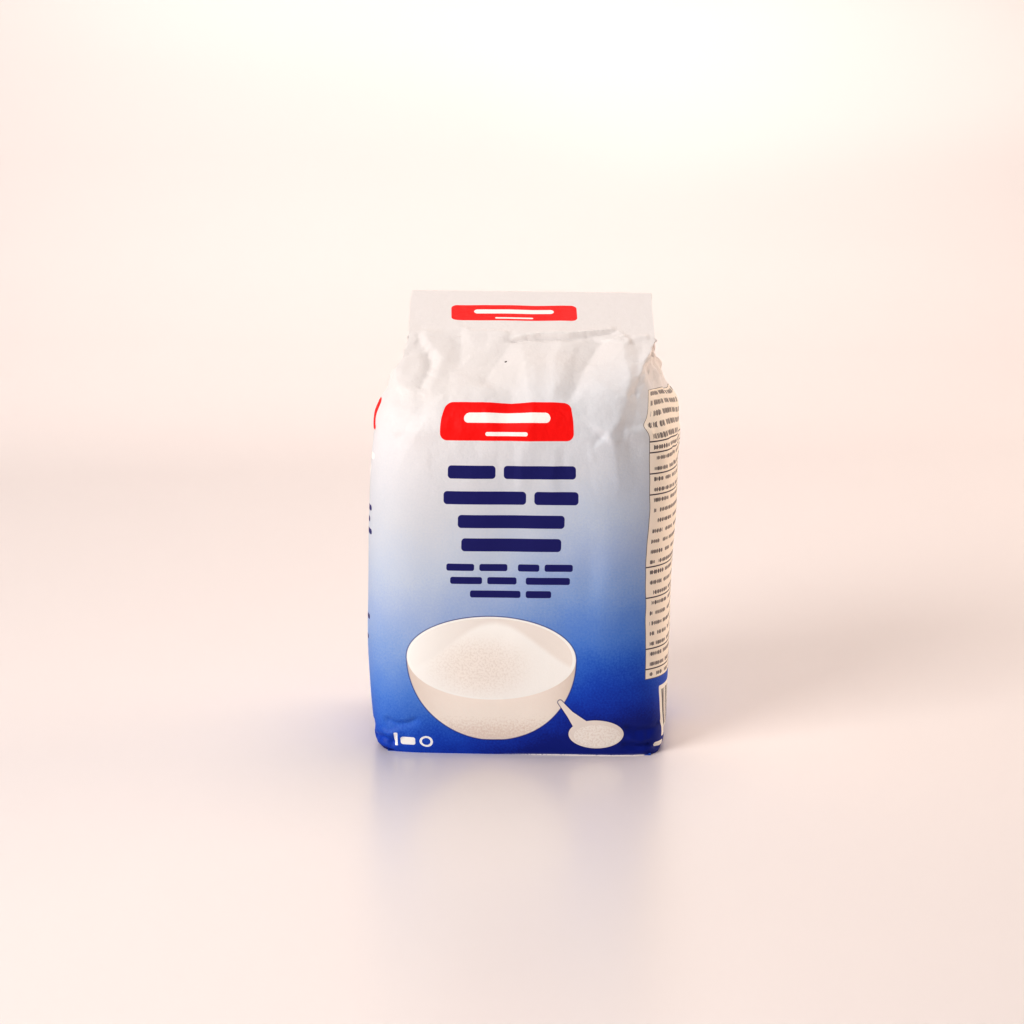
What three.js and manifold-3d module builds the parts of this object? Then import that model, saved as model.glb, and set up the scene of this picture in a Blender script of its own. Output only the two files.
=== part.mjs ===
// A filled one kilogram paper bag of granulated sugar, standing closed. Millimetres, +Z up.
// The front faces -Y, the bag stands on its flat bottom at Z = 0.
//
// The paper is one tube of four panels: front, right side, back and left side. Each point of
// the tube has a station, measured round it from the middle of the front panel, and a height,
// measured along the paper from the bottom fold. The tube rises as the bulging body, turns in
// at the shoulder, slopes to the ridge where front and back meet, and goes on as a flat closing
// strip that leans back over the top and is hemmed once under itself. The two sides tuck in
// below the strip. The paper is slack over the sugar, where it is folded into ridges and valleys.
// The bag is full, so it is one solid.
import * as THREE from "three";
import { mergeVertices } from "three/addons/utils/BufferGeometryUtils.js";
import Module from "manifold-3d";

// The paper tube.
const PANEL_WIDTH = 102;
const PANEL_DEPTH = 73;
const GIRTH = 2 * (PANEL_WIDTH + PANEL_DEPTH);

// The line of the front and back panels, seen from the side.
const HALF_DEPTH = 39;
const SHOULDER_HEIGHT = 118.5;
const SHOULDER_RADIUS = 20;
const GABLE_SLOPE = THREE.MathUtils.degToRad(26.5);
const SHOULDER_ARC = SHOULDER_RADIUS * (Math.PI / 2 - GABLE_SLOPE);
const SHOULDER_IN = SHOULDER_RADIUS * (1 - Math.sin(GABLE_SLOPE));

// The closing strip, and the hem folded under it.
const STRIP_SLOPE = THREE.MathUtils.degToRad(22);
const STRIP_LENGTH = 34.5;
const STRIP_HALF_THICKNESS = 0.85;
const STRIP_TURN = 3;
const HEM_RADIUS = 1.12 * STRIP_HALF_THICKNESS;
const HEM_ARC = Math.PI * HEM_RADIUS;
const HEM_LENGTH = 27;

// Heights along the paper where the strip starts, folds and ends.
const RIDGE =
  SHOULDER_HEIGHT +
  SHOULDER_ARC +
  (HALF_DEPTH - STRIP_HALF_THICKNESS - SHOULDER_IN) / Math.cos(GABLE_SLOPE);
const FOLD = RIDGE + STRIP_LENGTH;
const END = FOLD + HEM_ARC + HEM_LENGTH;

// The tucks in the two sides: how deep, and over which heights they open and close.
const TUCK_DEPTH = 30;
const TUCK_START = SHOULDER_HEIGHT + 16;
const TUCK_FULL = RIDGE - 6;
const TUCK_CLOSING = RIDGE - 5;
const TUCK_END = RIDGE + 1;

// The bag has twisted a little between its bottom and its top.
const TWIST_BOTTOM = THREE.MathUtils.degToRad(2);
const TWIST_TOP = THREE.MathUtils.degToRad(-1);
const TWIST_HEIGHT = 156;

// Cross-sections, each a rounded oblong: height along the paper, then how far it reaches to
// the left, to the right and to the front, and how square it is.
const SECTIONS = [
  [0, 50.6, 54.0, 35.9, 9],
  [3, 53.1, 55.2, 36.4, 7.5],
  [9, 54.2, 56.3, 37.2, 6],
  [21, 55.4, 56.7, 38.3, 5],
  [42, 56.4, 57.5, 38.9, 4.4],
  [68, 55.8, 58.0, 39, 4.2],
  [94, 54.5, 59.3, 39, 4.2],
  [116, 53.2, 59.5, 39, 4.2],
  [125, 52.4, 59.2, 39, 4.2],
  [135, 48.0, 55.1, 39, 4.6],
  [148, 48.4, 54.8, 39, 7],
  [158, 44.7, 52.3, 39, 12],
  [168, 42.6, 51.3, 39, 30],
  [171, 42.2, 51.2, 39, 40],
  [206, 45.6, 48.5, 39, 40],
  [240, 43.0, 50.0, 39, 40],
];
const sectionAt = new THREE.CubicInterpolant(
  SECTIONS.map((row) => row[0]),
  SECTIONS.flatMap((row) => row.slice(1)),
  4,
);

// The slot between the folded edges at the strip's two ends.
const SLOT_DEPTH = 1.4;
const SLOT_START = 2;

// The folds of the slack paper, each along a run of places on its panel: station from the
// panel's middle, and height. A rise above 0 is a ridge and one below 0 a valley. The flanks
// reach out to the left and to the right of the run's way, and the fold fades at its two ends.
const FLANK_CURVE = 1.15;
const FOLDS_CLEAR = 4;
const FRONT_FOLDS = [
  { run: [[-42, 137.5], [-40, 142], [-37.5, 147], [-37, 150.5], [-39.5, 158.5], [-42, 163]],
    rise: -1.4, reach: [4.6, 4.2], fade: [3, 3] },
  { run: [[-37, 146.5], [-34.5, 151], [-34, 158], [-39.3, 164.5], [-43, 170]],
    rise: 0.8, reach: [3.2, 8], fade: [3, 3] },
  { run: [[-26.5, 150], [-28, 165.5], [-30.5, 177]], rise: -0.6, reach: [5, 4], fade: [8, 3] },
  { run: [[-17, 137], [-14.5, 143.5], [-12.5, 152], [-11, 158.5], [-9, 164], [-7.5, 171.5]],
    rise: -1.1, reach: [7, 9], fade: [9, 1.5] },
  { run: [[4, 134], [3, 143], [0.5, 153.5], [-2, 162], [-4, 170.5]],
    rise: 0.9, reach: [8, 8.5], fade: [9, 1.5] },
  { run: [[14.5, 131], [13.5, 141], [12.5, 151.5], [12.5, 162], [13, 171]],
    rise: 0.5, reach: [4, 8], fade: [9, 2] },
  { run: [[19, 130], [22.5, 141], [24, 151.5], [26.5, 163.5], [29.5, 172]],
    rise: -1.6, reach: [8, 11], fade: [9, 2] },
  { run: [[35, 122], [39, 127], [44, 133.5], [44, 141.5], [42, 152], [39.5, 163], [36, 173]],
    rise: 1.4, reach: [11, 4.5], fade: [4, 1.5] },
];
const BACK_FOLDS = [
  { run: [[-46, 138], [-41, 150], [-40, 164], [-44, 176]], rise: -1.4, reach: [7, 4], fade: [7, 2] },
  { run: [[-24, 144], [-28, 160], [-31, 172]], rise: 0.9, reach: [4.5, 7.5], fade: [8, 2] },
  { run: [[-17, 138], [-14, 158], [-16, 171]], rise: -1.1, reach: [8, 5], fade: [8, 2] },
  { run: [[5, 140], [6, 156], [4, 171]], rise: 0.8, reach: [4, 8], fade: [8, 2] },
  { run: [[29, 132], [27, 147], [22, 160], [20, 172]], rise: -1.3, reach: [7.5, 5], fade: [8, 2] },
  { run: [[45, 145], [40, 160], [38, 174]], rise: 1.1, reach: [6, 4], fade: [6, 2] },
];
const SIDE_FOLDS = [
  { run: [[-20, 139], [-9, 132], [4, 135], [19, 131]], rise: -0.8, reach: [5, 6], fade: [4, 4] },
  { run: [[-25, 122], [-19, 116], [-18, 106]], rise: -0.7, reach: [3.5, 5], fade: [2, 3] },
  { run: [[24, 124], [17, 114], [19, 102]], rise: 0.6, reach: [5, 4], fade: [4, 4] },
];

// Meshing.
const FRONT_STEPS = 32;
const BACK_STEPS = 24;
const SIDE_STEPS = 14;
const GATHER = 0.7;
const OUTLINE_STEPS = 180;
const PROBE = 0.25;
const PAPER_COLOUR = new THREE.Color(0.55, 0.64, 0.84);

const { smoothstep } = THREE.MathUtils;

/** The height above the bottom and the way in, at a height along the paper. */
function profile(height) {
  const turned = THREE.MathUtils.clamp(height - SHOULDER_HEIGHT, 0, SHOULDER_ARC) / SHOULDER_RADIUS;
  const sloped = Math.max(height - SHOULDER_HEIGHT - SHOULDER_ARC, 0);
  return {
    rise: Math.min(height, SHOULDER_HEIGHT) + SHOULDER_RADIUS * Math.sin(turned) +
      sloped * Math.sin(GABLE_SLOPE),
    inward: SHOULDER_RADIUS * (1 - Math.cos(turned)) + sloped * Math.cos(GABLE_SLOPE),
  };
}

/** A quarter of a rounded oblong, from the front's middle to the side's, in equal angles. */
function quarterOutline(halfWidth, halfDepth, squareness) {
  const points = [];
  for (let i = 0; i <= OUTLINE_STEPS; i += 1) {
    const angle = (i / OUTLINE_STEPS) * (Math.PI / 2);
    points.push(new THREE.Vector2(
      halfWidth * Math.sin(angle) ** (2 / squareness),
      -halfDepth * Math.max(Math.cos(angle), 0) ** (2 / squareness),
    ));
  }
  return points;
}

/** The point a share of the way along a run of points, by its length. */
function alongPoints(points, share) {
  const lengths = [0];
  for (let i = 1; i < points.length; i += 1) {
    lengths.push(lengths[i - 1] + points[i].distanceTo(points[i - 1]));
  }
  const wanted = share * lengths[lengths.length - 1];
  let i = 1;
  while (i < points.length - 1 && lengths[i] < wanted) {
    i += 1;
  }
  const part = (wanted - lengths[i - 1]) / (lengths[i] - lengths[i - 1]);
  return points[i - 1].clone().lerp(points[i], part);
}

/** How far the sides are tucked in at a height, from 0 to 1. */
function tuckedShare(height, start, full) {
  return smoothstep(height, start, full) * (1 - smoothstep(height, TUCK_CLOSING, TUCK_END));
}

/** The point of a cross-section at a station: X to the right, Y to the back, from its middle. */
function sectionPoint(station, height) {
  const [left, right, reach, squareness] = sectionAt.evaluate(height);
  const halfWidth = (left + right) / 2;
  const { inward } = profile(Math.min(height, RIDGE));
  const halfDepth = Math.max(reach - inward, STRIP_HALF_THICKNESS);
  const outline = quarterOutline(halfWidth, halfDepth, squareness);
  const middle = OUTLINE_STEPS / 2;
  const signed = station > GIRTH / 2 ? station - GIRTH : station;
  const mirror = signed < 0 ? -1 : 1;
  const from = Math.abs(signed);
  let point;
  if (from <= PANEL_WIDTH / 2) {
    point = alongPoints(outline.slice(0, middle + 1), from / (PANEL_WIDTH / 2));
  } else if (from >= PANEL_WIDTH / 2 + PANEL_DEPTH) {
    point = alongPoints(outline.slice(0, middle + 1), (GIRTH / 2 - from) / (PANEL_WIDTH / 2));
    point.y *= -1;
  } else {
    const across = (from - PANEL_WIDTH / 2) / (PANEL_DEPTH / 2) - 1;
    const share = 1 - Math.abs(across);
    const corner = outline[middle];
    const slot = smoothstep(height, RIDGE, RIDGE + SLOT_START);
    const depth = TUCK_DEPTH * tuckedShare(height, TUCK_START, TUCK_FULL) + SLOT_DEPTH * slot;
    const tucked = new THREE.Vector2(corner.x - depth * share, corner.y * (1 - share));
    point = alongPoints(outline.slice(middle), share);
    point.lerp(tucked, Math.max(tuckedShare(height, TUCK_START - 4, TUCK_FULL - 2), slot));
    point.y *= across > 0 ? -1 : 1;
  }
  return new THREE.Vector2(mirror * point.x + (right - left) / 2, point.y);
}

/** How far a fold makes the paper stand out at a place on its panel. */
function foldRelief({ run, rise, reach, fade }, place) {
  let nearest = Infinity;
  let side = 0;
  let passed = 0;
  let length = 0;
  for (let i = 1; i < run.length; i += 1) {
    const start = new THREE.Vector2(...run[i - 1]);
    const way = new THREE.Vector2(...run[i]).sub(start);
    const away = place.clone().sub(start);
    const share = THREE.MathUtils.clamp(away.dot(way) / way.lengthSq(), 0, 1);
    away.addScaledVector(way, -share);
    if (away.length() < nearest) {
      nearest = away.length();
      side = way.cross(away);
      passed = length + share * way.length();
    }
    length += way.length();
  }
  const held = smoothstep(passed, 0, fade[0]) * smoothstep(length - passed, 0, fade[1]);
  const flank = side > 0 ? reach[0] : reach[1];
  return rise * held * Math.max(1 - nearest / flank, 0) ** FLANK_CURVE;
}

/** How far the folds make the paper stand out at a station and a height, short of the strip. */
function relief(station, height) {
  let total = 0;
  for (const [middle, folds, mirror] of [
    [0, FRONT_FOLDS, 1],
    [(PANEL_WIDTH + PANEL_DEPTH) / 2, SIDE_FOLDS, 1],
    [GIRTH / 2, BACK_FOLDS, 1],
    [-(PANEL_WIDTH + PANEL_DEPTH) / 2, SIDE_FOLDS, -1],
  ]) {
    const local = THREE.MathUtils.euclideanModulo(station - middle + GIRTH / 2, GIRTH) - GIRTH / 2;
    for (const fold of folds) {
      total += foldRelief(fold, new THREE.Vector2(mirror * local, height));
    }
  }
  return total * (1 - smoothstep(height, RIDGE - FOLDS_CLEAR, RIDGE));
}

/** The point of the smooth tube at a station round it and a height along it. */
function tubePoint(station, height) {
  const flat = sectionPoint(station, height);
  const { rise } = profile(Math.min(height, RIDGE));
  const past = Math.max(height - RIDGE, 0);
  const bend = THREE.MathUtils.clamp(past - STRIP_LENGTH, 0, HEM_ARC) / HEM_RADIUS;
  const hemmed = Math.max(past - STRIP_LENGTH - HEM_ARC, 0);
  const along = Math.min(past, STRIP_LENGTH) + HEM_RADIUS * Math.sin(bend) - hemmed;
  const under = HEM_RADIUS * (1 - Math.cos(bend));
  const roll = smoothstep(past, 0, STRIP_TURN) * (Math.PI / 2 - STRIP_SLOPE) + bend;
  const point = new THREE.Vector3(
    flat.x,
    along * Math.cos(STRIP_SLOPE) + under * Math.sin(STRIP_SLOPE) + flat.y * Math.cos(roll),
    rise + along * Math.sin(STRIP_SLOPE) - under * Math.cos(STRIP_SLOPE) - flat.y * Math.sin(roll),
  );
  const twist = THREE.MathUtils.lerp(TWIST_BOTTOM, TWIST_TOP, smoothstep(height, 0, TWIST_HEIGHT));
  return point.applyAxisAngle(new THREE.Vector3(0, 0, 1), twist);
}

/** The point of the folded paper at a station and a height: the tube's, moved out or in. */
function paperPoint(station, height) {
  const point = tubePoint(station, height);
  const rise = relief(station, height);
  if (rise === 0) {
    return point;
  }
  const around = tubePoint(station + PROBE, height).sub(tubePoint(station - PROBE, height));
  const along = tubePoint(station, height + PROBE).sub(tubePoint(station, height - PROBE));
  return point.addScaledVector(around.cross(along).normalize(), rise);
}

/** Stations round the tube, closer together near the folds between the panels. */
function stationList() {
  const stations = [];
  for (const [middle, halfPanel, steps] of [
    [0, PANEL_WIDTH / 2, FRONT_STEPS],
    [(PANEL_WIDTH + PANEL_DEPTH) / 2, PANEL_DEPTH / 2, SIDE_STEPS],
    [GIRTH / 2, PANEL_WIDTH / 2, BACK_STEPS],
    [GIRTH - (PANEL_WIDTH + PANEL_DEPTH) / 2, PANEL_DEPTH / 2, SIDE_STEPS],
  ]) {
    for (let i = 0; i < steps; i += 1) {
      const share = (2 * i) / steps - 1;
      const place = THREE.MathUtils.lerp(share, Math.sin((share * Math.PI) / 2), GATHER);
      stations.push((middle + halfPanel * place + GIRTH) % GIRTH);
    }
  }
  return stations;
}

/** Heights along the paper, closer together where it folds. */
function heightList() {
  const heights = [0, 1.5];
  for (const [to, steps] of [
    [21, 5],
    [SHOULDER_HEIGHT, 8],
    [SHOULDER_HEIGHT + SHOULDER_ARC, 9],
    [RIDGE - 5, 11],
    [RIDGE + STRIP_TURN, 6],
    [FOLD, 4],
    [FOLD + HEM_ARC, 6],
    [END, 3],
  ]) {
    const from = heights[heights.length - 1];
    for (let i = 1; i <= steps; i += 1) {
      heights.push(from + ((to - from) * i) / steps);
    }
  }
  return heights;
}

/** The closed bag: a cylinder's wall and caps, laid out along the paper. */
function bagGeometry() {
  const stations = stationList();
  const heights = heightList();
  const rows = heights.length - 1;
  const geometry = new THREE.CylinderGeometry(1, 1, 1, stations.length, rows);
  const bottom = new THREE.Vector3();
  const endMiddle = paperPoint(0, END).add(paperPoint(GIRTH / 2, END)).multiplyScalar(0.5);
  const position = geometry.getAttribute("position");
  const vertex = new THREE.Vector3();
  for (let i = 0; i < position.count; i += 1) {
    vertex.fromBufferAttribute(position, i);
    const row = Math.round((vertex.y + 0.5) * rows);
    const turn = (Math.atan2(vertex.x, vertex.z) / (2 * Math.PI) + 1) % 1;
    const column = Math.round(turn * stations.length) % stations.length;
    if (Math.hypot(vertex.x, vertex.z) < 0.5) {
      vertex.copy(row === 0 ? bottom : endMiddle);
    } else {
      vertex.copy(paperPoint(stations[column], heights[row]));
    }
    position.setXYZ(i, vertex.x, vertex.y, vertex.z);
  }
  geometry.deleteAttribute("normal");
  geometry.deleteAttribute("uv");
  return mergeVertices(geometry, 1e-4);
}

/** The geometry as a checked solid, centred over the middle of its bottom. */
async function centredSolid(geometry) {
  const wasm = await Module();
  wasm.setup();
  const solid = new wasm.Manifold(new wasm.Mesh({
    numProp: 3,
    vertProperties: new Float32Array(geometry.getAttribute("position").array),
    triVerts: new Uint32Array(geometry.getIndex().array),
  }));
  const mesh = solid.getMesh();
  const result = new THREE.BufferGeometry();
  result.setAttribute("position", new THREE.BufferAttribute(new Float32Array(mesh.vertProperties), 3));
  result.setIndex(new THREE.BufferAttribute(new Uint32Array(mesh.triVerts), 1));
  result.computeBoundingBox();
  const middle = result.boundingBox.getCenter(new THREE.Vector3());
  result.translate(-middle.x, -middle.y, -result.boundingBox.min.z);
  result.computeVertexNormals();
  return result;
}

const paper = new THREE.MeshStandardMaterial({
  color: PAPER_COLOUR,
  roughness: 0.62,
  metalness: 0,
});

const bag = new THREE.Mesh(await centredSolid(bagGeometry()), paper);
bag.name = "sugar_bag";

const group = new THREE.Group();
group.add(bag);

export default group;
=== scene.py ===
"""A closed one kilogram paper bag of granulated sugar, standing on its folded bottom.

The paper is one tube of four panels: front, right side, back and left side. A point of the tube
has a station, measured round it from the middle of the front panel, and a height, measured along
the paper from the bottom fold. The same stations and heights place the folds and the print.

Sizes inside the classes are millimetres. Meshes are metres, +Z up, the front facing -Y.
"""

import logging
import math
from dataclasses import dataclass, field
from enum import Enum

import bmesh
import bpy
import numpy as np
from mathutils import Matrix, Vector
from mathutils.geometry import delaunay_2d_cdt


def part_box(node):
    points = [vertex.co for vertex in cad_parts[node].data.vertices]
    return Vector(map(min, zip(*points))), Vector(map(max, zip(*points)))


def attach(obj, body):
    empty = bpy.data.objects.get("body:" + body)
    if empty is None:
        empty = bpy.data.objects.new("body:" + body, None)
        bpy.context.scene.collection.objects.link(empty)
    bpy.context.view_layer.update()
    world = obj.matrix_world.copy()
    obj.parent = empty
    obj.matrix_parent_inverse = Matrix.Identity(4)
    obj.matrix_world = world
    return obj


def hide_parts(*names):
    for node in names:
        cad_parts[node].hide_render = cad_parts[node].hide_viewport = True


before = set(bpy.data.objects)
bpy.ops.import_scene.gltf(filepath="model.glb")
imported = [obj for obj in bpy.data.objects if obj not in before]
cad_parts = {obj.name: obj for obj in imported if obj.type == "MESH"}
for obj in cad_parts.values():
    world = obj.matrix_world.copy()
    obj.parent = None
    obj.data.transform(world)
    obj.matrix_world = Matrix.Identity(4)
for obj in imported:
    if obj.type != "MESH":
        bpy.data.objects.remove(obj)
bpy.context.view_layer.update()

LOG = logging.getLogger("sugar_bag")
NODE = "sugar_bag"
BODY = "root"
MM = 0.001
PAPER_MAP = "paper"
BAKE_MAP = "OFBake"
WEAR = "wear"

Array = np.ndarray
Colour = tuple[float, float, float]
Place = tuple[float, float]


def smooth(value: Array, low: float, high: float) -> Array:
    """A soft step.

    Args:
        value: Where to read it.
        low: Below this it is 0.
        high: Above this it is 1.

    Returns:
        The step's values, from 0 to 1.
    """
    share = np.clip((np.asarray(value, dtype=float) - low) / (high - low), 0.0, 1.0)
    return share * share * (3.0 - 2.0 * share)


def srgb(red: int, green: int, blue: int) -> Colour:
    """A colour given as screen values from 0 to 255, in linear light."""

    def linear(value: int) -> float:
        """One channel in linear light."""
        share = value / 255.0
        return share / 12.92 if share <= 0.04045 else ((share + 0.055) / 1.055) ** 2.4

    return linear(red), linear(green), linear(blue)


# --------------------------------------------------------------------------- the paper's form


class Panel(Enum):
    """The tube's panels, each by the station of its middle in panel widths and depths."""

    FRONT = (0.0, 0.0)
    RIGHT = (0.5, 0.5)
    BACK = (1.0, 1.0)
    LEFT = (-0.5, -0.5)

    def middle(self, width: float, depth: float) -> float:
        """The station of the panel's middle on a tube of that panel width and depth."""
        return self.value[0] * width + self.value[1] * depth


@dataclass(frozen=True)
class Section:
    """A cross-section of the bag: its height along the paper, its reach and how square it is."""

    height: float
    left: float
    right: float
    reach: float
    squareness: float


SECTIONS = (
    Section(0, 50.6, 54.0, 35.9, 9),
    Section(3, 53.1, 55.2, 36.4, 7.5),
    Section(9, 54.2, 56.3, 37.2, 6),
    Section(21, 55.4, 56.7, 38.3, 5),
    Section(42, 56.4, 57.5, 38.9, 4.4),
    Section(68, 55.8, 58.0, 39, 4.2),
    Section(94, 54.5, 59.3, 39, 4.2),
    Section(116, 53.2, 59.5, 39, 4.2),
    Section(125, 52.4, 59.2, 39, 4.2),
    Section(135, 48.0, 55.1, 39, 4.6),
    Section(148, 48.4, 54.8, 39, 7),
    Section(158, 44.7, 52.3, 39, 12),
    Section(168, 42.6, 51.3, 39, 30),
    Section(171, 42.2, 51.2, 39, 40),
    Section(206, 45.6, 48.5, 39, 40),
    Section(240, 43.0, 50.0, 39, 40),
)


@dataclass(frozen=True)
class PaperTube:
    """The bag's form without its creases: where each point of the paper tube lies.

    Heights named start are counted from the shoulder. Those named full, end or closing are
    counted from the ridge.
    """

    width: float = 102.0
    depth: float = 73.0
    half_depth: float = 39.0
    shoulder: float = 118.5
    shoulder_radius: float = 20.0
    gable: float = math.radians(26.5)
    lean: float = math.radians(22.0)
    strip: float = 34.5
    strip_half: float = 0.85
    strip_turn: float = 3.0
    hem: float = 27.0
    tuck: float = 30.0
    tuck_start: float = 16.0
    tuck_full: float = -6.0
    blend_start: float = 12.0
    blend_full: float = -8.0
    closing: Place = (-5.0, 1.0)
    slit: float = 1.4
    slit_end: float = 2.0
    give: float = 5.0
    give_reach: float = 44.0
    give_start: Place = (-4.0, 10.0)
    give_end: Place = (-31.0, 2.0)
    slack: float = 27.0
    slack_start: Place = (10.0, 24.0)
    slack_end: Place = (-7.0, -1.0)
    bulge: float = 0.045
    twist_bottom: float = math.radians(2.0)
    twist_top: float = math.radians(-1.0)
    twist_height: float = 156.0
    sections: tuple[Section, ...] = SECTIONS
    outline_steps: int = 180

    @property
    def girth(self) -> float:
        """The length once round the tube."""
        return 2.0 * (self.width + self.depth)

    @property
    def corner(self) -> float:
        """The station of the fold between the front and the right side."""
        return self.width / 2.0

    @property
    def arc(self) -> float:
        """The paper's length over the rounded shoulder."""
        return self.shoulder_radius * (math.pi / 2.0 - self.gable)

    @property
    def ridge(self) -> float:
        """The height where front and back meet and the closing strip starts."""
        turned_in = self.shoulder_radius * (1.0 - math.sin(self.gable))
        left_over = self.half_depth - self.strip_half - turned_in
        return self.shoulder + self.arc + left_over / math.cos(self.gable)

    @property
    def fold(self) -> float:
        """The height of the closing strip's rear fold."""
        return self.ridge + self.strip

    @property
    def hem_radius(self) -> float:
        """The radius of the turn at the rear fold."""
        return 1.12 * self.strip_half

    @property
    def end(self) -> float:
        """The height of the hem's free end."""
        return self.fold + math.pi * self.hem_radius + self.hem

    def profile(self, heights: Array) -> tuple[Array, Array]:
        """The rise above the bottom and the way in, at heights along the paper."""
        turned = np.clip(heights - self.shoulder, 0.0, self.arc) / self.shoulder_radius
        sloped = np.clip(heights - self.shoulder - self.arc, 0.0, None)
        rise = np.minimum(heights, self.shoulder)
        rise = rise + self.shoulder_radius * np.sin(turned) + sloped * math.sin(self.gable)
        inward = self.shoulder_radius * (1.0 - np.cos(turned)) + sloped * math.cos(self.gable)
        return rise, inward

    def section_at(self, heights: Array) -> list[Array]:
        """The cross-sections' values at heights, along smooth curves through the given ones.

        Args:
            heights: Heights along the paper.

        Returns:
            The reach to the left, to the right and to the front, and the squareness.
        """
        knots = np.array([s.height for s in self.sections], dtype=float)
        heights = np.clip(heights, knots[0], knots[-1])
        index = np.clip(np.searchsorted(knots, heights, side="right") - 1, 0, len(knots) - 2)
        step = knots[index + 1] - knots[index]
        share = (heights - knots[index]) / step
        curves = []
        for name in ("left", "right", "reach", "squareness"):
            values = np.array([getattr(s, name) for s in self.sections], dtype=float)
            slopes = np.empty_like(values)
            slopes[1:-1] = (values[2:] - values[:-2]) / (knots[2:] - knots[:-2])
            slopes[0] = (values[1] - values[0]) / (knots[1] - knots[0])
            slopes[-1] = (values[-1] - values[-2]) / (knots[-1] - knots[-2])
            rest = 1.0 - share
            curves.append(
                (1.0 + 2.0 * share) * rest**2 * values[index]
                + share * rest**2 * step * slopes[index]
                + share**2 * (3.0 - 2.0 * share) * values[index + 1]
                - share**2 * rest * step * slopes[index + 1]
            )
        return curves

    def window(self, heights: Array, start: Place, end: Place) -> Array:
        """A soft window that opens over the shoulder and closes at the ridge.

        Args:
            heights: Heights along the paper.
            start: Where it opens, counted from the shoulder.
            end: Where it closes, counted from the ridge.

        Returns:
            Its values at the heights, from 0 to 1.
        """
        opened = smooth(heights, self.shoulder + start[0], self.shoulder + start[1])
        return opened * (1.0 - smooth(heights, self.ridge + end[0], self.ridge + end[1]))

    def tucked(self, heights: Array, start: float, full: float) -> Array:
        """How far the sides are tucked in at heights, from 0 to 1, apart from the strip."""
        closing = smooth(heights, self.ridge + self.closing[0], self.ridge + self.closing[1])
        return smooth(heights, self.shoulder + start, self.ridge + full) * (1.0 - closing)

    def settled(self, stations: Array, give: float) -> Array:
        """Where stations come to lie on a cross-section whose front right fold has moved in.

        Args:
            stations: Stations round the tube.
            give: How far in front of its own corner the fold lies.

        Returns:
            The stations of a cross-section whose fold lies on its corner.
        """
        knots = [0.0, self.corner - give, self.corner + self.depth / 2.0]
        moved = np.interp(stations, knots, [0.0, self.corner, knots[-1]])
        return np.where((stations > 0.0) & (stations < knots[-1]), moved, stations)

    def outlines(self, stations: Array, heights: Array) -> tuple[Array, Array]:
        """The cross-sections' outlines.

        Args:
            stations: Stations round the tube, from minus to plus half the girth.
            heights: Heights along the paper.

        Returns:
            X to the right and Y to the back, for each height and station.
        """
        left, right, reach, squareness = self.section_at(heights)
        half_width = (left + right) / 2.0
        _, inward = self.profile(np.minimum(heights, self.ridge))
        half_depth = np.maximum(reach - inward, self.strip_half)
        angle = np.linspace(0.0, math.pi / 2.0, self.outline_steps + 1)
        power = 2.0 / squareness[:, None]
        quarter_x = half_width[:, None] * np.sin(angle) ** power
        quarter_y = -half_depth[:, None] * np.clip(np.cos(angle), 0.0, None) ** power
        middle = self.outline_steps // 2

        give = self.give * self.window(heights, self.give_start, self.give_end)
        slack = self.slack * self.window(heights, self.slack_start, self.slack_end)
        slit = smooth(heights, self.ridge, self.ridge + self.slit_end)
        tuck = self.tuck * self.tucked(heights, self.tuck_start, self.tuck_full) + self.slit * slit
        blend = np.maximum(self.tucked(heights, self.blend_start, self.blend_full), slit)

        x = np.zeros((len(heights), len(stations)))
        y = np.zeros_like(x)
        for row in range(len(heights)):
            around = self.settled(stations, give[row])
            away = np.abs(around)
            across = (away - self.corner) / (self.depth / 2.0) - 1.0
            front = away <= self.corner
            back = away >= self.corner + self.depth
            side = ~front & ~back
            side_share = 1.0 - np.abs(across[side])
            behind = np.where(across[side] > 0.0, -1.0, 1.0)
            qx, qy = quarter_x[row], quarter_y[row]
            run = np.concatenate([[0.0], np.cumsum(np.hypot(np.diff(qx), np.diff(qy)))])
            first = run[: middle + 1] / run[middle]
            last = (run[middle:] - run[middle]) / (run[-1] - run[middle])
            from_back = self.girth / 2.0 - away
            for panel, reached, facing in ((front, away, 1.0), (back, from_back, -1.0)):
                share = reached[panel] / self.corner
                x[row, panel] = np.interp(share, first, qx[: middle + 1])
                y[row, panel] = facing * np.interp(share, first, qy[: middle + 1])
            round_x = np.interp(side_share, last, qx[middle:])
            round_y = np.interp(side_share, last, qy[middle:]) * behind
            eased = slack[row] * (around[side] > 0.0)
            depth = np.maximum(tuck[row] - eased, -self.bulge * eased)
            tucked_x = qx[middle] - depth * side_share
            tucked_y = qy[middle] * (1.0 - side_share) * behind
            x[row, side] = round_x + (tucked_x - round_x) * blend[row]
            y[row, side] = round_y + (tucked_y - round_y) * blend[row]
            length = np.where(around > self.corner, self.give_reach, self.corner)
            x[row] -= give[row] * np.clip(1.0 - np.abs(around - self.corner) / length, 0.0, 1.0)
        x = x * np.where(stations < 0.0, -1.0, 1.0) + ((right - left) / 2.0)[:, None]
        return x, y

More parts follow.
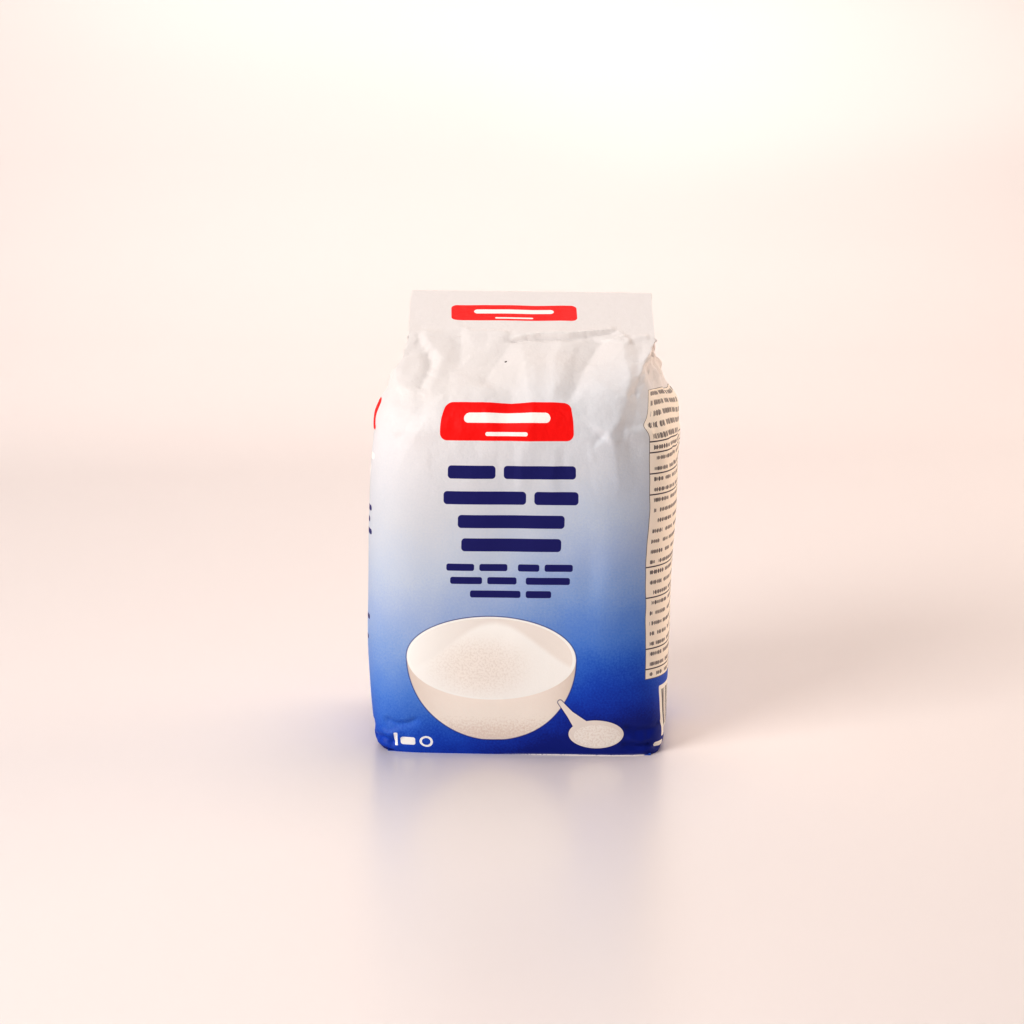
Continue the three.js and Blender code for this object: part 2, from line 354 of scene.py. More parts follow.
    def points(self, stations: Array, heights: Array) -> Array:
        """Where the paper lies.

        Args:
            stations: Stations round the tube.
            heights: Heights along the paper.

        Returns:
            Points in millimetres, one row for each height, from the tube's own axis.
        """
        x, flat_y = self.outlines(stations, heights)
        rise, _ = self.profile(np.minimum(heights, self.ridge))
        past = np.clip(heights - self.ridge, 0.0, None)
        turn = math.pi * self.hem_radius
        bend = np.clip(past - self.strip, 0.0, turn) / self.hem_radius
        hemmed = np.clip(past - self.strip - turn, 0.0, None)
        along = np.minimum(past, self.strip) + self.hem_radius * np.sin(bend) - hemmed
        under = self.hem_radius * (1.0 - np.cos(bend))
        roll = smooth(past, 0.0, self.strip_turn) * (math.pi / 2.0 - self.lean) + bend
        middle_y = along * math.cos(self.lean) + under * math.sin(self.lean)
        middle_z = rise + along * math.sin(self.lean) - under * math.cos(self.lean)
        y = middle_y[:, None] + flat_y * np.cos(roll)[:, None]
        z = middle_z[:, None] - flat_y * np.sin(roll)[:, None]
        grow = smooth(heights, 0.0, self.twist_height)
        twist = (self.twist_bottom + (self.twist_top - self.twist_bottom) * grow)[:, None]
        turned_x = x * np.cos(twist) - y * np.sin(twist)
        turned_y = x * np.sin(twist) + y * np.cos(twist)
        return np.stack([turned_x, turned_y, z], axis=-1)


# --------------------------------------------------------------------------- creases and dents


@dataclass(frozen=True)
class Crease:
    """A fold pressed into the paper along a run of (station, height) places.

    A rise above 0 stands out as a ridge, one below 0 is a valley. The flanks reach out to the left
    and to the right of the run's way, straight with a steepness of 1 and hollow above it, and the
    fold fades in and out over a length at the run's two ends.
    """

    run: tuple[Place, ...]
    rise: float
    reach: Place
    fade: Place = (4.0, 4.0)
    steepness: float = 1.15

    def relief(self, station: Array, height: Array) -> Array:
        """How far the paper stands out because of this crease."""
        nearest = np.full(station.shape, np.inf)
        side = np.zeros(station.shape)
        passed = np.zeros(station.shape)
        done = 0.0
        for (x0, y0), (x1, y1) in zip(self.run, self.run[1:]):
            dx, dy = x1 - x0, y1 - y0
            length = math.hypot(dx, dy)
            share = ((station - x0) * dx + (height - y0) * dy) / length**2
            share = np.clip(share, 0.0, 1.0)
            away_x, away_y = station - x0 - share * dx, height - y0 - share * dy
            distance = np.hypot(away_x, away_y)
            closer = distance < nearest
            nearest = np.where(closer, distance, nearest)
            side = np.where(closer, dx * away_y - dy * away_x, side)
            passed = np.where(closer, done + share * length, passed)
            done += length
        held = smooth(passed, 0.0, self.fade[0]) * smooth(done - passed, 0.0, self.fade[1])
        flank = np.where(side > 0.0, self.reach[0], self.reach[1])
        return self.rise * held * np.clip(1.0 - nearest / flank, 0.0, 1.0) ** self.steepness


@dataclass(frozen=True)
class Swelling:
    """A soft bulge, or a dent where its rise is below 0, with its middle and radii."""

    middle: Place
    radii: Place
    rise: float
    turn: float = 0.0

    def relief(self, station: Array, height: Array) -> Array:
        """How far the paper stands out because of this bulge."""
        dx, dy = station - self.middle[0], height - self.middle[1]
        c, s = math.cos(self.turn), math.sin(self.turn)
        along = (dx * c + dy * s) / self.radii[0]
        over = (dy * c - dx * s) / self.radii[1]
        return self.rise * np.exp(-(along * along + over * over))


@dataclass(frozen=True)
class Lip:
    """A fold whose upper side overhangs the lower one, along a run from left to right."""

    run: tuple[Place, ...]
    rise: float
    fade: float
    edge: float = 0.9
    ends: Place = (6.0, 3.0)

    def relief(self, station: Array, height: Array) -> Array:
        """How far the paper stands out because of this fold."""
        start, end = self.run[0][0], self.run[-1][0]
        line = np.interp(station, *zip(*self.run))
        above = height - line
        held = smooth(station, start, start + self.ends[0])
        held = held * (1.0 - smooth(station, end - self.ends[1], end))
        step = smooth(above, -self.edge / 2.0, self.edge / 2.0)
        return self.rise * held * step * np.exp(-np.clip(above, 0.0, None) / self.fade)


# The folds of the front that show, from the closing strip down to the bottom edge.
FRONT_FOLDS = (
    # The left end of the strip's crease runs down into the shoulder.
    Crease(((-42, 137.5), (-40, 142), (-37.5, 147), (-37, 150.5), (-39.5, 158.5), (-42, 163)),
           -1.4, (4.6, 4.2), (3, 3), 1.25),
    Crease(((-41.5, 162), (-45, 167), (-48, 173)), -0.7, (3.4, 2.4), (2, 2)),
    Crease(((-37, 146.5), (-34.5, 151), (-34, 158), (-39.3, 164.5), (-43, 170), (-44, 176)),
           0.8, (3.2, 8), (3, 3)),
    Crease(((-44.5, 164.5), (-42.3, 166)), 0.45, (1.2, 1), (0.6, 0.6)),
    Crease(((-48, 142.5), (-48.5, 152.5), (-49.5, 160)), 0.5, (3, 5)),
    Crease(((-49, 176.5), (-46, 180), (-41.5, 181.5), (-33, 184.5)), -0.5, (1.6, 5), (2, 3)),
    Crease(((-33, 184.5), (-29.5, 178), (-25, 174), (-15, 174), (-8, 172.5)),
           0.5, (2.6, 5.5), (3, 3)),
    # Folds hanging from the crease under the strip.
    Crease(((-26.5, 150), (-28, 165.5), (-30.5, 177)), -0.6, (5, 4), (8, 3)),
    Crease(((-17, 137), (-14.5, 143.5), (-12.5, 152), (-11, 158.5), (-9, 164), (-7.5, 171.5)),
           -1.1, (7, 9), (9, 1.5)),
    Crease(((4, 134), (3, 143), (0.5, 153.5), (-2, 162), (-4, 170.5)), 0.9, (8, 8.5), (9, 1.5)),
    Crease(((14.5, 131), (13.5, 141), (12.5, 151.5), (12.5, 162), (13, 171)), 0.5, (4, 8), (9, 2)),
    Crease(((19, 130), (22.5, 141), (24, 151.5), (26.5, 163.5), (29.5, 172)),
           -1.6, (8, 11), (9, 2), 1.3),
    # The right end of the crease, with its short branches, and the long ridge down from it.
    Crease(((32.5, 119), (35, 122), (39, 127), (44, 133.5), (44, 141.5), (42, 152), (39.5, 163),
            (36, 173)),
           1.15, (11, 5), (2, 1.5)),
    Crease(((39.5, 166), (40.5, 170.5), (44.5, 172), (49, 172.5)), 0.7, (2.2, 3), (1.5, 1.5)),
    Crease(((35.7, 176.5), (38, 172.5), (41.5, 167.5)), 0.5, (1.6, 1.2), (0.8, 1.2)),
    Crease(((46.5, 139), (45.5, 148), (46, 158.5), (46.5, 169.5)), -0.3, (3, 2.5)),
    Crease(((27.5, 148), (35.5, 139.5), (41.5, 134.5), (44, 133)), 0.5, (4, 6)),
    Lip(((-9, 170.9), (-4, 171.5), (4.5, 172.4), (15.5, 172.5), (25, 174), (36, 176.2)),
           1.15, 6, 0.5),
    Crease(((-9, 170), (-4, 170.8), (4.5, 171.7), (15.5, 171.8), (25, 173.3), (36, 175.5)),
           -0.85, (0.7, 3.4)),
    # The right corner of the shoulder, with a star-shaped crease below it.
    Crease(((44, 134.5), (48, 137.5), (51.5, 135.5)), -0.7, (3, 3), (1.5, 2)),
    Crease(((39.5, 122.5), (43.5, 121.5), (48, 122), (53, 121)), 0.7, (2.5, 4.5), (2, 2)),
    Crease(((27.5, 116.5), (29.5, 118.5), (31.5, 120.3), (33, 121.8)), -0.55, (2.2, 1.3), (2, 0.8)),
    Crease(((33, 121.5), (36, 124), (40, 127.5)), 0.25, (2.4, 3), (1.5, 2)),
    Crease(((26.5, 115.5), (28, 113.5), (28.5, 111)), 0.3, (1.4, 2.2), (1, 1.5)),
    Crease(((36, 94), (37.5, 103), (36.5, 112), (35, 121.5)), 0.85, (10, 6.5), (16, 3)),
    Swelling((32.5, 68), (12, 46), 1.1),
    Crease(((-28, 119), (-29, 125.5), (-32, 132)), 0.35, (4, 4)),
    Crease(((-37, 120), (-38.5, 130), (-42.5, 139.5)), -0.5, (5, 6)),
    Crease(((0.5, 99), (1.5, 107), (1, 118)), 0.3, (2.5, 5)),
    Crease(((14, 98), (13, 106), (15, 118)), 0.3, (5, 3)),
    Swelling((28.5, 68), (4.5, 12), -0.6),
    Swelling((-47, 100), (9, 20), 0.35),
    # The bottom corners.
    Crease(((-51.5, 12.6), (-46, 10.6), (-41, 11.4), (-36, 14)), -1, (2, 3.2), (2, 4), 1.4),
    Crease(((-54, 8.4), (-49.5, 6.2), (-46, 7.4), (-43.5, 5)), 0.8, (1.8, 2), (1.5, 1.5), 1.3),
    Crease(((-59, 4), (-50.5, 5), (-46.5, 2.5)), -1.1, (2, 2.2), (2, 1), 1.3),
    Crease(((-49, 2.2), (-46.5, 4.2), (-45.5, 8)), -0.6, (1.4, 1.6), (1, 1.5)),
    Crease(((40, 11.8), (45, 9.4), (51.5, 9.8), (58, 12)), -1, (2.2, 2), (2.5, 3), 1.3),
    Crease(((41, 7.6), (46.5, 5.8), (51, 6.4)), 0.8, (1.8, 2), (2, 1.5), 1.3),
    Crease(((39, 4.6), (45.5, 3.2), (50, 4), (55, 2.4)), -1, (1.8, 1.6), (2, 1.5), 1.3),
    Crease(((50.5, 3), (49, 6.2), (50.5, 10)), -0.5, (1.4, 1.4), (1, 1.5)),
)

# Where the folds above leave the paper between them flat, by how far its crumpling is held back.
CALM = (
    Swelling((-43, 156), (10, 17), 0.8),
    Swelling((32, 118), (9, 9), 0.8),
    Swelling((12, 172), (30, 7), 0.5),
)

# The folds of the hidden panels, in places counted from each panel's own middle.
BACK_FOLDS = (
    Crease(((-46, 138), (-41, 150), (-40, 164), (-44, 176)), -1.4, (7, 4), (7, 2)),
    Crease(((-24, 144), (-28, 160), (-31, 172)), 0.9, (4.5, 7.5), (8, 2)),
    Crease(((-17, 138), (-14, 158), (-16, 171)), -1.1, (8, 5), (8, 2)),
    Crease(((5, 140), (6, 156), (4, 171)), 0.8, (4, 8), (8, 2)),
    Crease(((29, 132), (27, 147), (22, 160), (20, 172)), -1.3, (7.5, 5), (8, 2)),
    Crease(((45, 145), (40, 160), (38, 174)), 1.1, (6, 4), (6, 2)),
    Crease(((-24, 104), (-25, 112), (-30, 119)), -1, (3, 4.5), (2, 2)),
    Crease(((-31, 112), (-25, 112), (-21, 115)), 0.5, (2.5, 3), (1.5, 1.5)),
    Swelling((-8, 88), (12, 22), -0.4),
    Swelling((30, 60), (9, 16), 0.35),
    Crease(((-52, 8), (-43, 6), (-38, 9)), -0.9, (2.6, 3)),
    Crease(((39, 5), (50, 8)), -0.9, (2.6, 3)),
)
SIDE_FOLDS = (
    Crease(((-26, 143), (-20, 149), (-11, 158), (0, 167)), 0.8, (4, 5), (6, 2)),
    Crease(((26, 144), (20, 149), (11, 158), (0, 167)), 0.8, (5, 4), (6, 2)),
    Crease(((2, 138), (0, 152), (0, 166)), -1.3, (8, 8), (8, 2)),
    Crease(((-20, 139), (-9, 132), (4, 135), (19, 131)), -0.8, (5, 6)),
    Crease(((-25, 122), (-19, 116), (-18, 106)), -0.7, (3.5, 5), (2, 3)),
    Crease(((24, 124), (17, 114), (19, 102)), 0.6, (5, 4)),
    Swelling((4, 90), (14, 18), 0.3),
    Swelling((-14, 52), (10, 16), -0.4),
    Crease(((-30, 9), (-18, 5), (-10, 8)), -0.8, (2.6, 3)),
    Crease(((12, 7), (22, 4), (33, 8)), -0.8, (2.6, 3)),
)


@dataclass(frozen=True)
class Ripples:
    """Soft waves over the paper, worked out from seeded draws."""

    seed: int
    across: float
    along: float
    waves: int = 22

    def sample(self, stations: Array, heights: Array) -> Array:
        """Values mostly between -1 and 1, one row for each height."""
        draw = np.random.default_rng(self.seed)
        station, height = np.meshgrid(stations, heights)
        total = np.zeros(station.shape)
        for _ in range(self.waves):
            stretch = draw.uniform(0.7, 1.5) * 2.0 * math.pi
            angle = draw.uniform(0.0, 2.0 * math.pi)
            phase = draw.uniform(0.0, 2.0 * math.pi)
            place = math.cos(angle) * station / self.across + math.sin(angle) * height / self.along
            total += np.cos(stretch * place + phase)
        return total * math.sqrt(2.0 / self.waves) * 0.5


@dataclass(frozen=True)
class Crumple:
    """Crumpled paper: flat facets between scattered points, meeting in sharp folds."""

    seed: int
    across: float
    along: float
    scatter: float = 0.42

    def sample(self, stations: Array, heights: Array, girth: float) -> Array:
        """Heights of the facets.

        Args:
            stations: Stations to read them at, in order.
            heights: Heights to read them at, in order.
            girth: The length once round the tube, where the facets repeat.

        Returns:
            Values between -1 and 1, one row for each height.
        """
        draw = np.random.default_rng(self.seed)
        columns = round(girth / self.across)
        rows = math.ceil(heights[-1] / self.along) + 4
        rise = draw.uniform(-1.0, 1.0, (rows, columns))
        shift = draw.uniform(-self.scatter, self.scatter, (rows, columns, 2))
        places, rises = [], []
        for row in range(rows):
            for column in range(-3, columns + 3):
                wrapped = column % columns
                x = (column + 0.5 * (row % 2) + shift[row, wrapped, 0]) * girth / columns
                y = (row - 1.5 + shift[row, wrapped, 1]) * self.along
                places.append(Vector((x - girth / 2.0, y)))
                rises.append(rise[row, wrapped])
        corners, _, faces, origins, _, _ = delaunay_2d_cdt(places, [], [], 0, 1e-6)
        result = np.zeros((len(heights), len(stations)))
        for face in faces:
            xs = np.array([corners[i].x for i in face])
            ys = np.array([corners[i].y for i in face])
            zs = np.array([rises[origins[i][0]] for i in face])
            left, right = np.searchsorted(stations, [xs.min(), xs.max()])
            low, high = np.searchsorted(heights, [ys.min(), ys.max()])
            if left == right or low == high:
                continue
            x, y = np.meshgrid(stations[left:right], heights[low:high])
            area = (ys[1] - ys[2]) * (xs[0] - xs[2]) + (xs[2] - xs[1]) * (ys[0] - ys[2])
            first = ((ys[1] - ys[2]) * (x - xs[2]) + (xs[2] - xs[1]) * (y - ys[2])) / area
            second = ((ys[2] - ys[0]) * (x - xs[2]) + (xs[0] - xs[2]) * (y - ys[2])) / area
            third = 1.0 - first - second
            inside = (first >= -1e-9) & (second >= -1e-9) & (third >= -1e-9)
            plane = first * zs[0] + second * zs[1] + third * zs[2]
            result[low:high, left:right] = np.where(inside, plane, result[low:high, left:right])
        return result


@dataclass(frozen=True)
class Relief:
    """All that makes the paper stand out from the tube's smooth form."""

    tube: PaperTube
    flutes: Ripples = Ripples(11, 17.0, 95.0)
    lumps: Ripples = Ripples(12, 34.0, 46.0)
    large: Crumple = Crumple(13, 12.0, 16.0)
    small: Crumple = Crumple(14, 5.5, 7.0)
    flute_rise: float = 0.12
    lump_rise: float = 0.16
    large_rise: float = 1.25
    small_rise: float = 0.42
    loose_over: Place = (88.0, 142.0)
    strip_over: Place = (-1.0, 7.0)
    strip_loss: float = 0.75
    corner_reach: float = 12.0
    panel_share: float = 0.62
    foot_over: Place = (6.0, 20.0)
    foot_share: float = 0.55
    least_share: float = 0.07
    pressed_over: Place = (2.0, 9.0)
    pressed_loss: float = 0.55
    fold_over: Place = (-4.0, -0.5)
    fold_loss: float = 0.85
    side_over: Place = (-3.0, 3.0)
    end_reach: float = 3.0
    end_over: Place = (-12.0, -2.0)
    end_loss: float = 0.8
    bottom_over: float = 2.5
    bottom_share: float = 0.25

    def past(self, height: Array, start: float, over: Place) -> Array:
        """A soft step over a stretch of heights counted from start."""
        return smooth(height, start + over[0], start + over[1])

    def looseness(self, height: Array) -> Array:
        """How slack the paper is: tight round the sugar, loose above it, flat in the strip."""
        loose = smooth(height, *self.loose_over)
        return loose * (1.0 - self.strip_loss * self.past(height, self.tube.ridge, self.strip_over))

    def folds(self, station: Array, height: Array) -> Array:
        """The folds of all four panels at stations and heights."""
        tube = self.tube
        total = np.zeros(station.shape)
        for panel, folds in (
            (Panel.FRONT, FRONT_FOLDS),
            (Panel.RIGHT, SIDE_FOLDS[1:]),
            (Panel.BACK, BACK_FOLDS),
            (Panel.LEFT, SIDE_FOLDS),
        ):
            local = station - panel.middle(tube.width, tube.depth)
            local = (local + tube.girth / 2.0) % tube.girth - tube.girth / 2.0
            if panel is Panel.LEFT:
                local = -local
            for fold in folds:
                total += fold.relief(local, height)
        return total

    def at(self, stations: Array, heights: Array) -> Array:
        """How far the paper stands out, in millimetres, one row for each height."""
        tube = self.tube
        station, height = np.meshgrid(stations, heights)
        loose = self.looseness(height)
        away = np.abs(station)
        beside = np.minimum(np.abs(away - tube.corner), np.abs(away - tube.corner - tube.depth))
        cornered = np.exp(-((beside / self.corner_reach) ** 2))
        low = (1.0 - smooth(height, *self.foot_over)) * cornered
        crumpled = loose * (self.panel_share + (1.0 - self.panel_share) * cornered)
        crumpled = crumpled + self.foot_share * low + self.least_share
        calm = sum(area.relief(station, height) for area in CALM)
        crumpled = crumpled * (1.0 - np.clip(calm, 0.0, 1.0))
        total = self.folds(station, height)
        total = total + self.flute_rise * loose * self.flutes.sample(stations, heights)
        total = total + self.lump_rise * self.lumps.sample(stations, heights)
        for rise, facets in ((self.large_rise, self.large), (self.small_rise, self.small)):
            total = total + rise * crumpled * facets.sample(stations, heights, tube.girth)
        in_side = (away > tube.corner) & (away < tube.corner + tube.depth)
        strip_end = np.exp(-((beside / self.end_reach) ** 2))
        for flattened in (
            self.pressed_loss * self.past(height, tube.ridge, self.pressed_over),
            self.fold_loss * self.past(height, tube.fold, self.fold_over),
            np.where(in_side, self.past(height, tube.ridge, self.side_over), 0.0),
            self.end_loss * strip_end * self.past(height, tube.ridge, self.end_over),
        ):
            total = total * (1.0 - flattened)
        rising = smooth(height, 0.0, self.bottom_over)
        return total * (self.bottom_share + (1.0 - self.bottom_share) * rising)


# --------------------------------------------------------------------------- shader nodes


Socket = bpy.types.NodeSocket
Value = float | Socket
Triple = tuple[float, float, float] | Socket
Sockets = bpy.types.bpy_prop_collection


class Graph:
    """Adds nodes to one node tree. Each method returns the new node's output."""

    def __init__(self, tree: bpy.types.NodeTree) -> None:
        """Starts a graph in tree."""
        self.tree = tree
        self.count = 0

    def node(self, kind: str, **settings: object) -> bpy.types.Node:
        """A new node of that kind with the given settings, in reading order."""
        made = self.tree.nodes.new(kind)
        made.location = (180.0 * (self.count // 8), -160.0 * (self.count % 8))
        self.count += 1
        for name, value in settings.items():
            setattr(made, name, value)
        return made

    def feed(self, target: Socket, value: object) -> None:
        """Links value to an input, or sets it where value is plain."""
        if isinstance(value, bpy.types.NodeSocket):
            self.tree.links.new(value, target)
        elif isinstance(value, tuple) and len(value) == 3 and target.type == "RGBA":
            target.default_value = (*value, 1.0)
        else:
            target.default_value = value

    def math(self, operation: str, *values: Value, clamp: bool = False) -> Socket:
        """A Math node."""
        made = self.node("ShaderNodeMath", operation=operation, use_clamp=clamp)
        for index, value in enumerate(values):
            self.feed(made.inputs[index], value)
        return made.outputs[0]

    def times(self, first: Value, second: Value, clamp: bool = False) -> Socket:
        """First times second."""
        return self.math("MULTIPLY", first, second, clamp=clamp)

    def minus(self, first: Value, second: Value) -> Socket:
        """First less second."""
        return self.math("SUBTRACT", first, second)

    def ratio(self, first: Value, second: Value, clamp: bool = False) -> Socket:
        """First divided by second."""
        return self.math("DIVIDE", first, second, clamp=clamp)

    def scaled(self, value: Value, factor: Value, added: Value, clamp: bool = False) -> Socket:
        """Value times factor, plus what is added."""
        return self.math("MULTIPLY_ADD", value, factor, added, clamp=clamp)

    def hump(self, value: Value, middle: float, half: float) -> Socket:
        """A bell shape, 1 where value is at the middle."""
        away = self.ratio(self.minus(value, middle), half)
        return self.math("EXPONENT", self.times(self.times(away, away), -1.0))

    def vector(self, operation: str, *values: object) -> Socket:
        """A Vector Math node. A length, a distance and a dot product are numbers."""
        made = self.node("ShaderNodeVectorMath", operation=operation)
        for index, value in enumerate(values):
            self.feed(made.inputs[3 if operation == "SCALE" and index == 1 else index], value)
        number = operation in ("LENGTH", "DISTANCE", "DOT_PRODUCT")
        return made.outputs["Value" if number else "Vector"]

    def split(self, vector: Socket) -> tuple[Socket, Socket]:
        """The X and Y of a vector."""
        made = self.node("ShaderNodeSeparateXYZ")
        self.feed(made.inputs[0], vector)
        return made.outputs["X"], made.outputs["Y"]

    def join(self, x: Value, y: Value) -> Socket:
        """A vector of X and Y."""
        made = self.node("ShaderNodeCombineXYZ")
        self.feed(made.inputs["X"], x)
        self.feed(made.inputs["Y"], y)
        return made.outputs[0]

    def mix(self, factor: Value, first: Triple, second: Triple, blend: str = "MIX") -> Socket:
        """A colour that goes from first to second, or to their blend, with factor."""
        made = self.node("ShaderNodeMix", data_type="RGBA", blend_type=blend)
        self.feed(made.inputs["Factor"], factor)
        self.feed(made.inputs[6], first)
        self.feed(made.inputs[7], second)
        return made.outputs[2]

    def span(
        self, value: Value, low: float, high: float, start: float = 0.0, end: float = 1.0
    ) -> Socket:
        """Value from low to high as a smooth step from start to end."""
        made = self.node("ShaderNodeMapRange", interpolation_type="SMOOTHSTEP")
        self.feed(made.inputs["Value"], value)
        ends = {"From Min": low, "From Max": high, "To Min": start, "To Max": end}
        for name, number in ends.items():
            made.inputs[name].default_value = number
        return made.outputs["Result"]

    def noise(
        self, place: Value, scale: float, detail: float = 2.0, roughness: float = 0.5,
        along: bool = False
    ) -> Socket:
        """Noise values at a place, or along a line."""
        made = self.node("ShaderNodeTexNoise", noise_dimensions="1D" if along else "2D")
        self.feed(made.inputs["W" if along else "Vector"], place)
        for name, number in {"Scale": scale, "Detail": detail, "Roughness": roughness}.items():
            made.inputs[name].default_value = number
        return made.outputs["Fac"]

    def ramp(self, value: Value, stops: tuple[tuple[float, Colour], ...]) -> Socket:
        """A colour ramp through stops of (place, colour)."""
        made = self.node("ShaderNodeValToRGB")
        elements = made.color_ramp.elements
        while len(elements) < len(stops):
            elements.new(0.5)
        for element, (place, colour) in zip(elements, stops):
            element.position = place
            element.color = (*colour, 1.0)
        self.feed(made.inputs[0], value)
        return made.outputs["Color"]

    def group(self, tree: bpy.types.NodeTree, **values: object) -> bpy.types.Node:
        """A node group with its inputs fed by name."""
        made = self.node("ShaderNodeGroup", node_tree=tree)
        for name, value in values.items():
            self.feed(made.inputs[name.replace("_", " ")], value)
        return made


def new_group(
    name: str, inputs: dict[str, str], outputs: dict[str, str]
) -> tuple[Graph, Sockets, Sockets]:
    """Starts a node group.

    Args:
        name: The group's name.
        inputs: Input names and socket kinds.
        outputs: Output names and socket kinds.

    Returns:
        Its graph, the sockets that give its inputs and those that take its outputs.
    """
    tree = bpy.data.node_groups.new(name, "ShaderNodeTree")
    for sockets, way in ((inputs, "INPUT"), (outputs, "OUTPUT")):
        for label, kind in sockets.items():
            tree.interface.new_socket(label, in_out=way, socket_type=f"NodeSocket{kind}")
    graph = Graph(tree)
    given, result = graph.node("NodeGroupInput"), graph.node("NodeGroupOutput")
    return graph, given.outputs, result.inputs


def new_material(name: str) -> tuple[bpy.types.Material, Graph, Sockets]:
    """A new material, its graph and the inputs of its shader."""
    made = bpy.data.materials.new(name)
    made.use_nodes = True
    return made, Graph(made.node_tree), made.node_tree.nodes["Principled BSDF"].inputs


class PrintShapes:
    """The node groups that draw the print's plain shapes, with edges as soft as ink's."""

    def __init__(self, softness: float = 0.16) -> None:
        """Builds the groups.

        Args:
            softness: The width of an inked edge, in millimetres.
        """
        self.softness = softness
        self.bar = self._bar()
        self.oval = self._oval()
        self.taper = self._taper()

    def _edge(self, graph: Graph, distance: Socket) -> Socket:
        """1 inside, 0 outside, from a distance that is below 0 inside."""
        return graph.scaled(distance, -1.0 / self.softness, 0.5, clamp=True)

    def _bar(self) -> bpy.types.NodeTree:
        """A bar with rounded corners."""
        graph, given, result = new_group(
            "Printed bar",
            {"Place": "Vector", "Middle": "Vector", "Half": "Vector", "Corner": "Float"},
            {"Mask": "Float"},
        )
        away = graph.vector("SUBTRACT", given["Place"], given["Middle"])
        away = graph.vector("ABSOLUTE", away)
        away = graph.vector("SUBTRACT", away, given["Half"])
        away = graph.vector("ADD", away, given["Corner"])
        away = graph.vector("MAXIMUM", away, (0.0, 0.0, 0.0))
        distance = graph.vector("LENGTH", away)
        distance = graph.minus(distance, given["Corner"])
        graph.feed(result["Mask"], self._edge(graph, distance))
        return graph.tree

    def _oval(self) -> bpy.types.NodeTree:
        """An oval, with its distance from the middle in radii."""
        graph, given, result = new_group(
            "Printed oval",
            {"Place": "Vector", "Middle": "Vector", "Radii": "Vector"},
            {"Mask": "Float", "Radius": "Float"},
        )
        away = graph.vector("SUBTRACT", given["Place"], given["Middle"])
        away = graph.vector("DIVIDE", away, given["Radii"])
        radius = graph.vector("LENGTH", away)
        distance = graph.times(graph.minus(radius, 1.0), 14.0)
        graph.feed(result["Mask"], self._edge(graph, distance))
        graph.feed(result["Radius"], radius)
        return graph.tree

    def _taper(self) -> bpy.types.NodeTree:
        """A stroke from one point to another that grows from one half width to another."""
        graph, given, result = new_group(
            "Printed stroke",
            {
                "Place": "Vector",
                "From": "Vector",
                "Along": "Vector",
                "Start": "Float",
                "End": "Float",
            },
            {"Mask": "Float"},
        )
        away = graph.vector("SUBTRACT", given["Place"], given["From"])
        dot = graph.vector("DOT_PRODUCT", away, given["Along"])
        square = graph.vector("DOT_PRODUCT", given["Along"], given["Along"])
        share = graph.ratio(dot, square, clamp=True)
        reached = graph.vector("SCALE", given["Along"], share)
        distance = graph.vector("DISTANCE", away, reached)
        grown = graph.minus(given["End"], given["Start"])
        width = graph.scaled(grown, share, given["Start"])
        distance = graph.minus(distance, width)
        graph.feed(result["Mask"], self._edge(graph, distance))
        return graph.tree


@dataclass(frozen=True)
class Bar:
    """A printed bar on a panel: where it runs from and to, its middle height and thickness."""

    start: float
    end: float
    height: float
    thickness: float
    corner: float | None = None

    def mask(self, graph: Graph, shapes: PrintShapes, place: Socket) -> Socket:
        """Where this bar is printed."""
        corner = self.thickness / 2.0 if self.corner is None else self.corner
        made = graph.group(
            shapes.bar,
            Place=place,
            Middle=((self.start + self.end) / 2.0, self.height, 0.0),
            Half=((self.end - self.start) / 2.0, self.thickness / 2.0, 1.0),
            Corner=corner,
        )
        return made.outputs["Mask"]


def row(height: float, thickness: float, corner: float | None, *spans: Place) -> tuple[Bar, ...]:
    """Bars side by side at one height, each from its start to its end."""
    return tuple(Bar(start, end, height, thickness, corner) for start, end in spans)


def all_of(graph: Graph, masks: list[Socket]) -> Socket:
    """One mask where any of the masks is."""
    total = masks[0]
    for mask in masks[1:]:
        total = graph.math("MAXIMUM", total, mask)
    return total


@dataclass(frozen=True)
class Print:
    """What all that is printed on the paper shares: its shapes and its inks."""

    shapes: PrintShapes
    red: Colour = srgb(252, 14, 8)
    navy: Colour = srgb(30, 30, 110)
    white: Colour = srgb(254, 250, 245)

    def bars(self, graph: Graph, place: Socket, *bars: Bar) -> Socket:
        """Where any of the bars is printed."""
        return all_of(graph, [bar.mask(graph, self.shapes, place) for bar in bars])


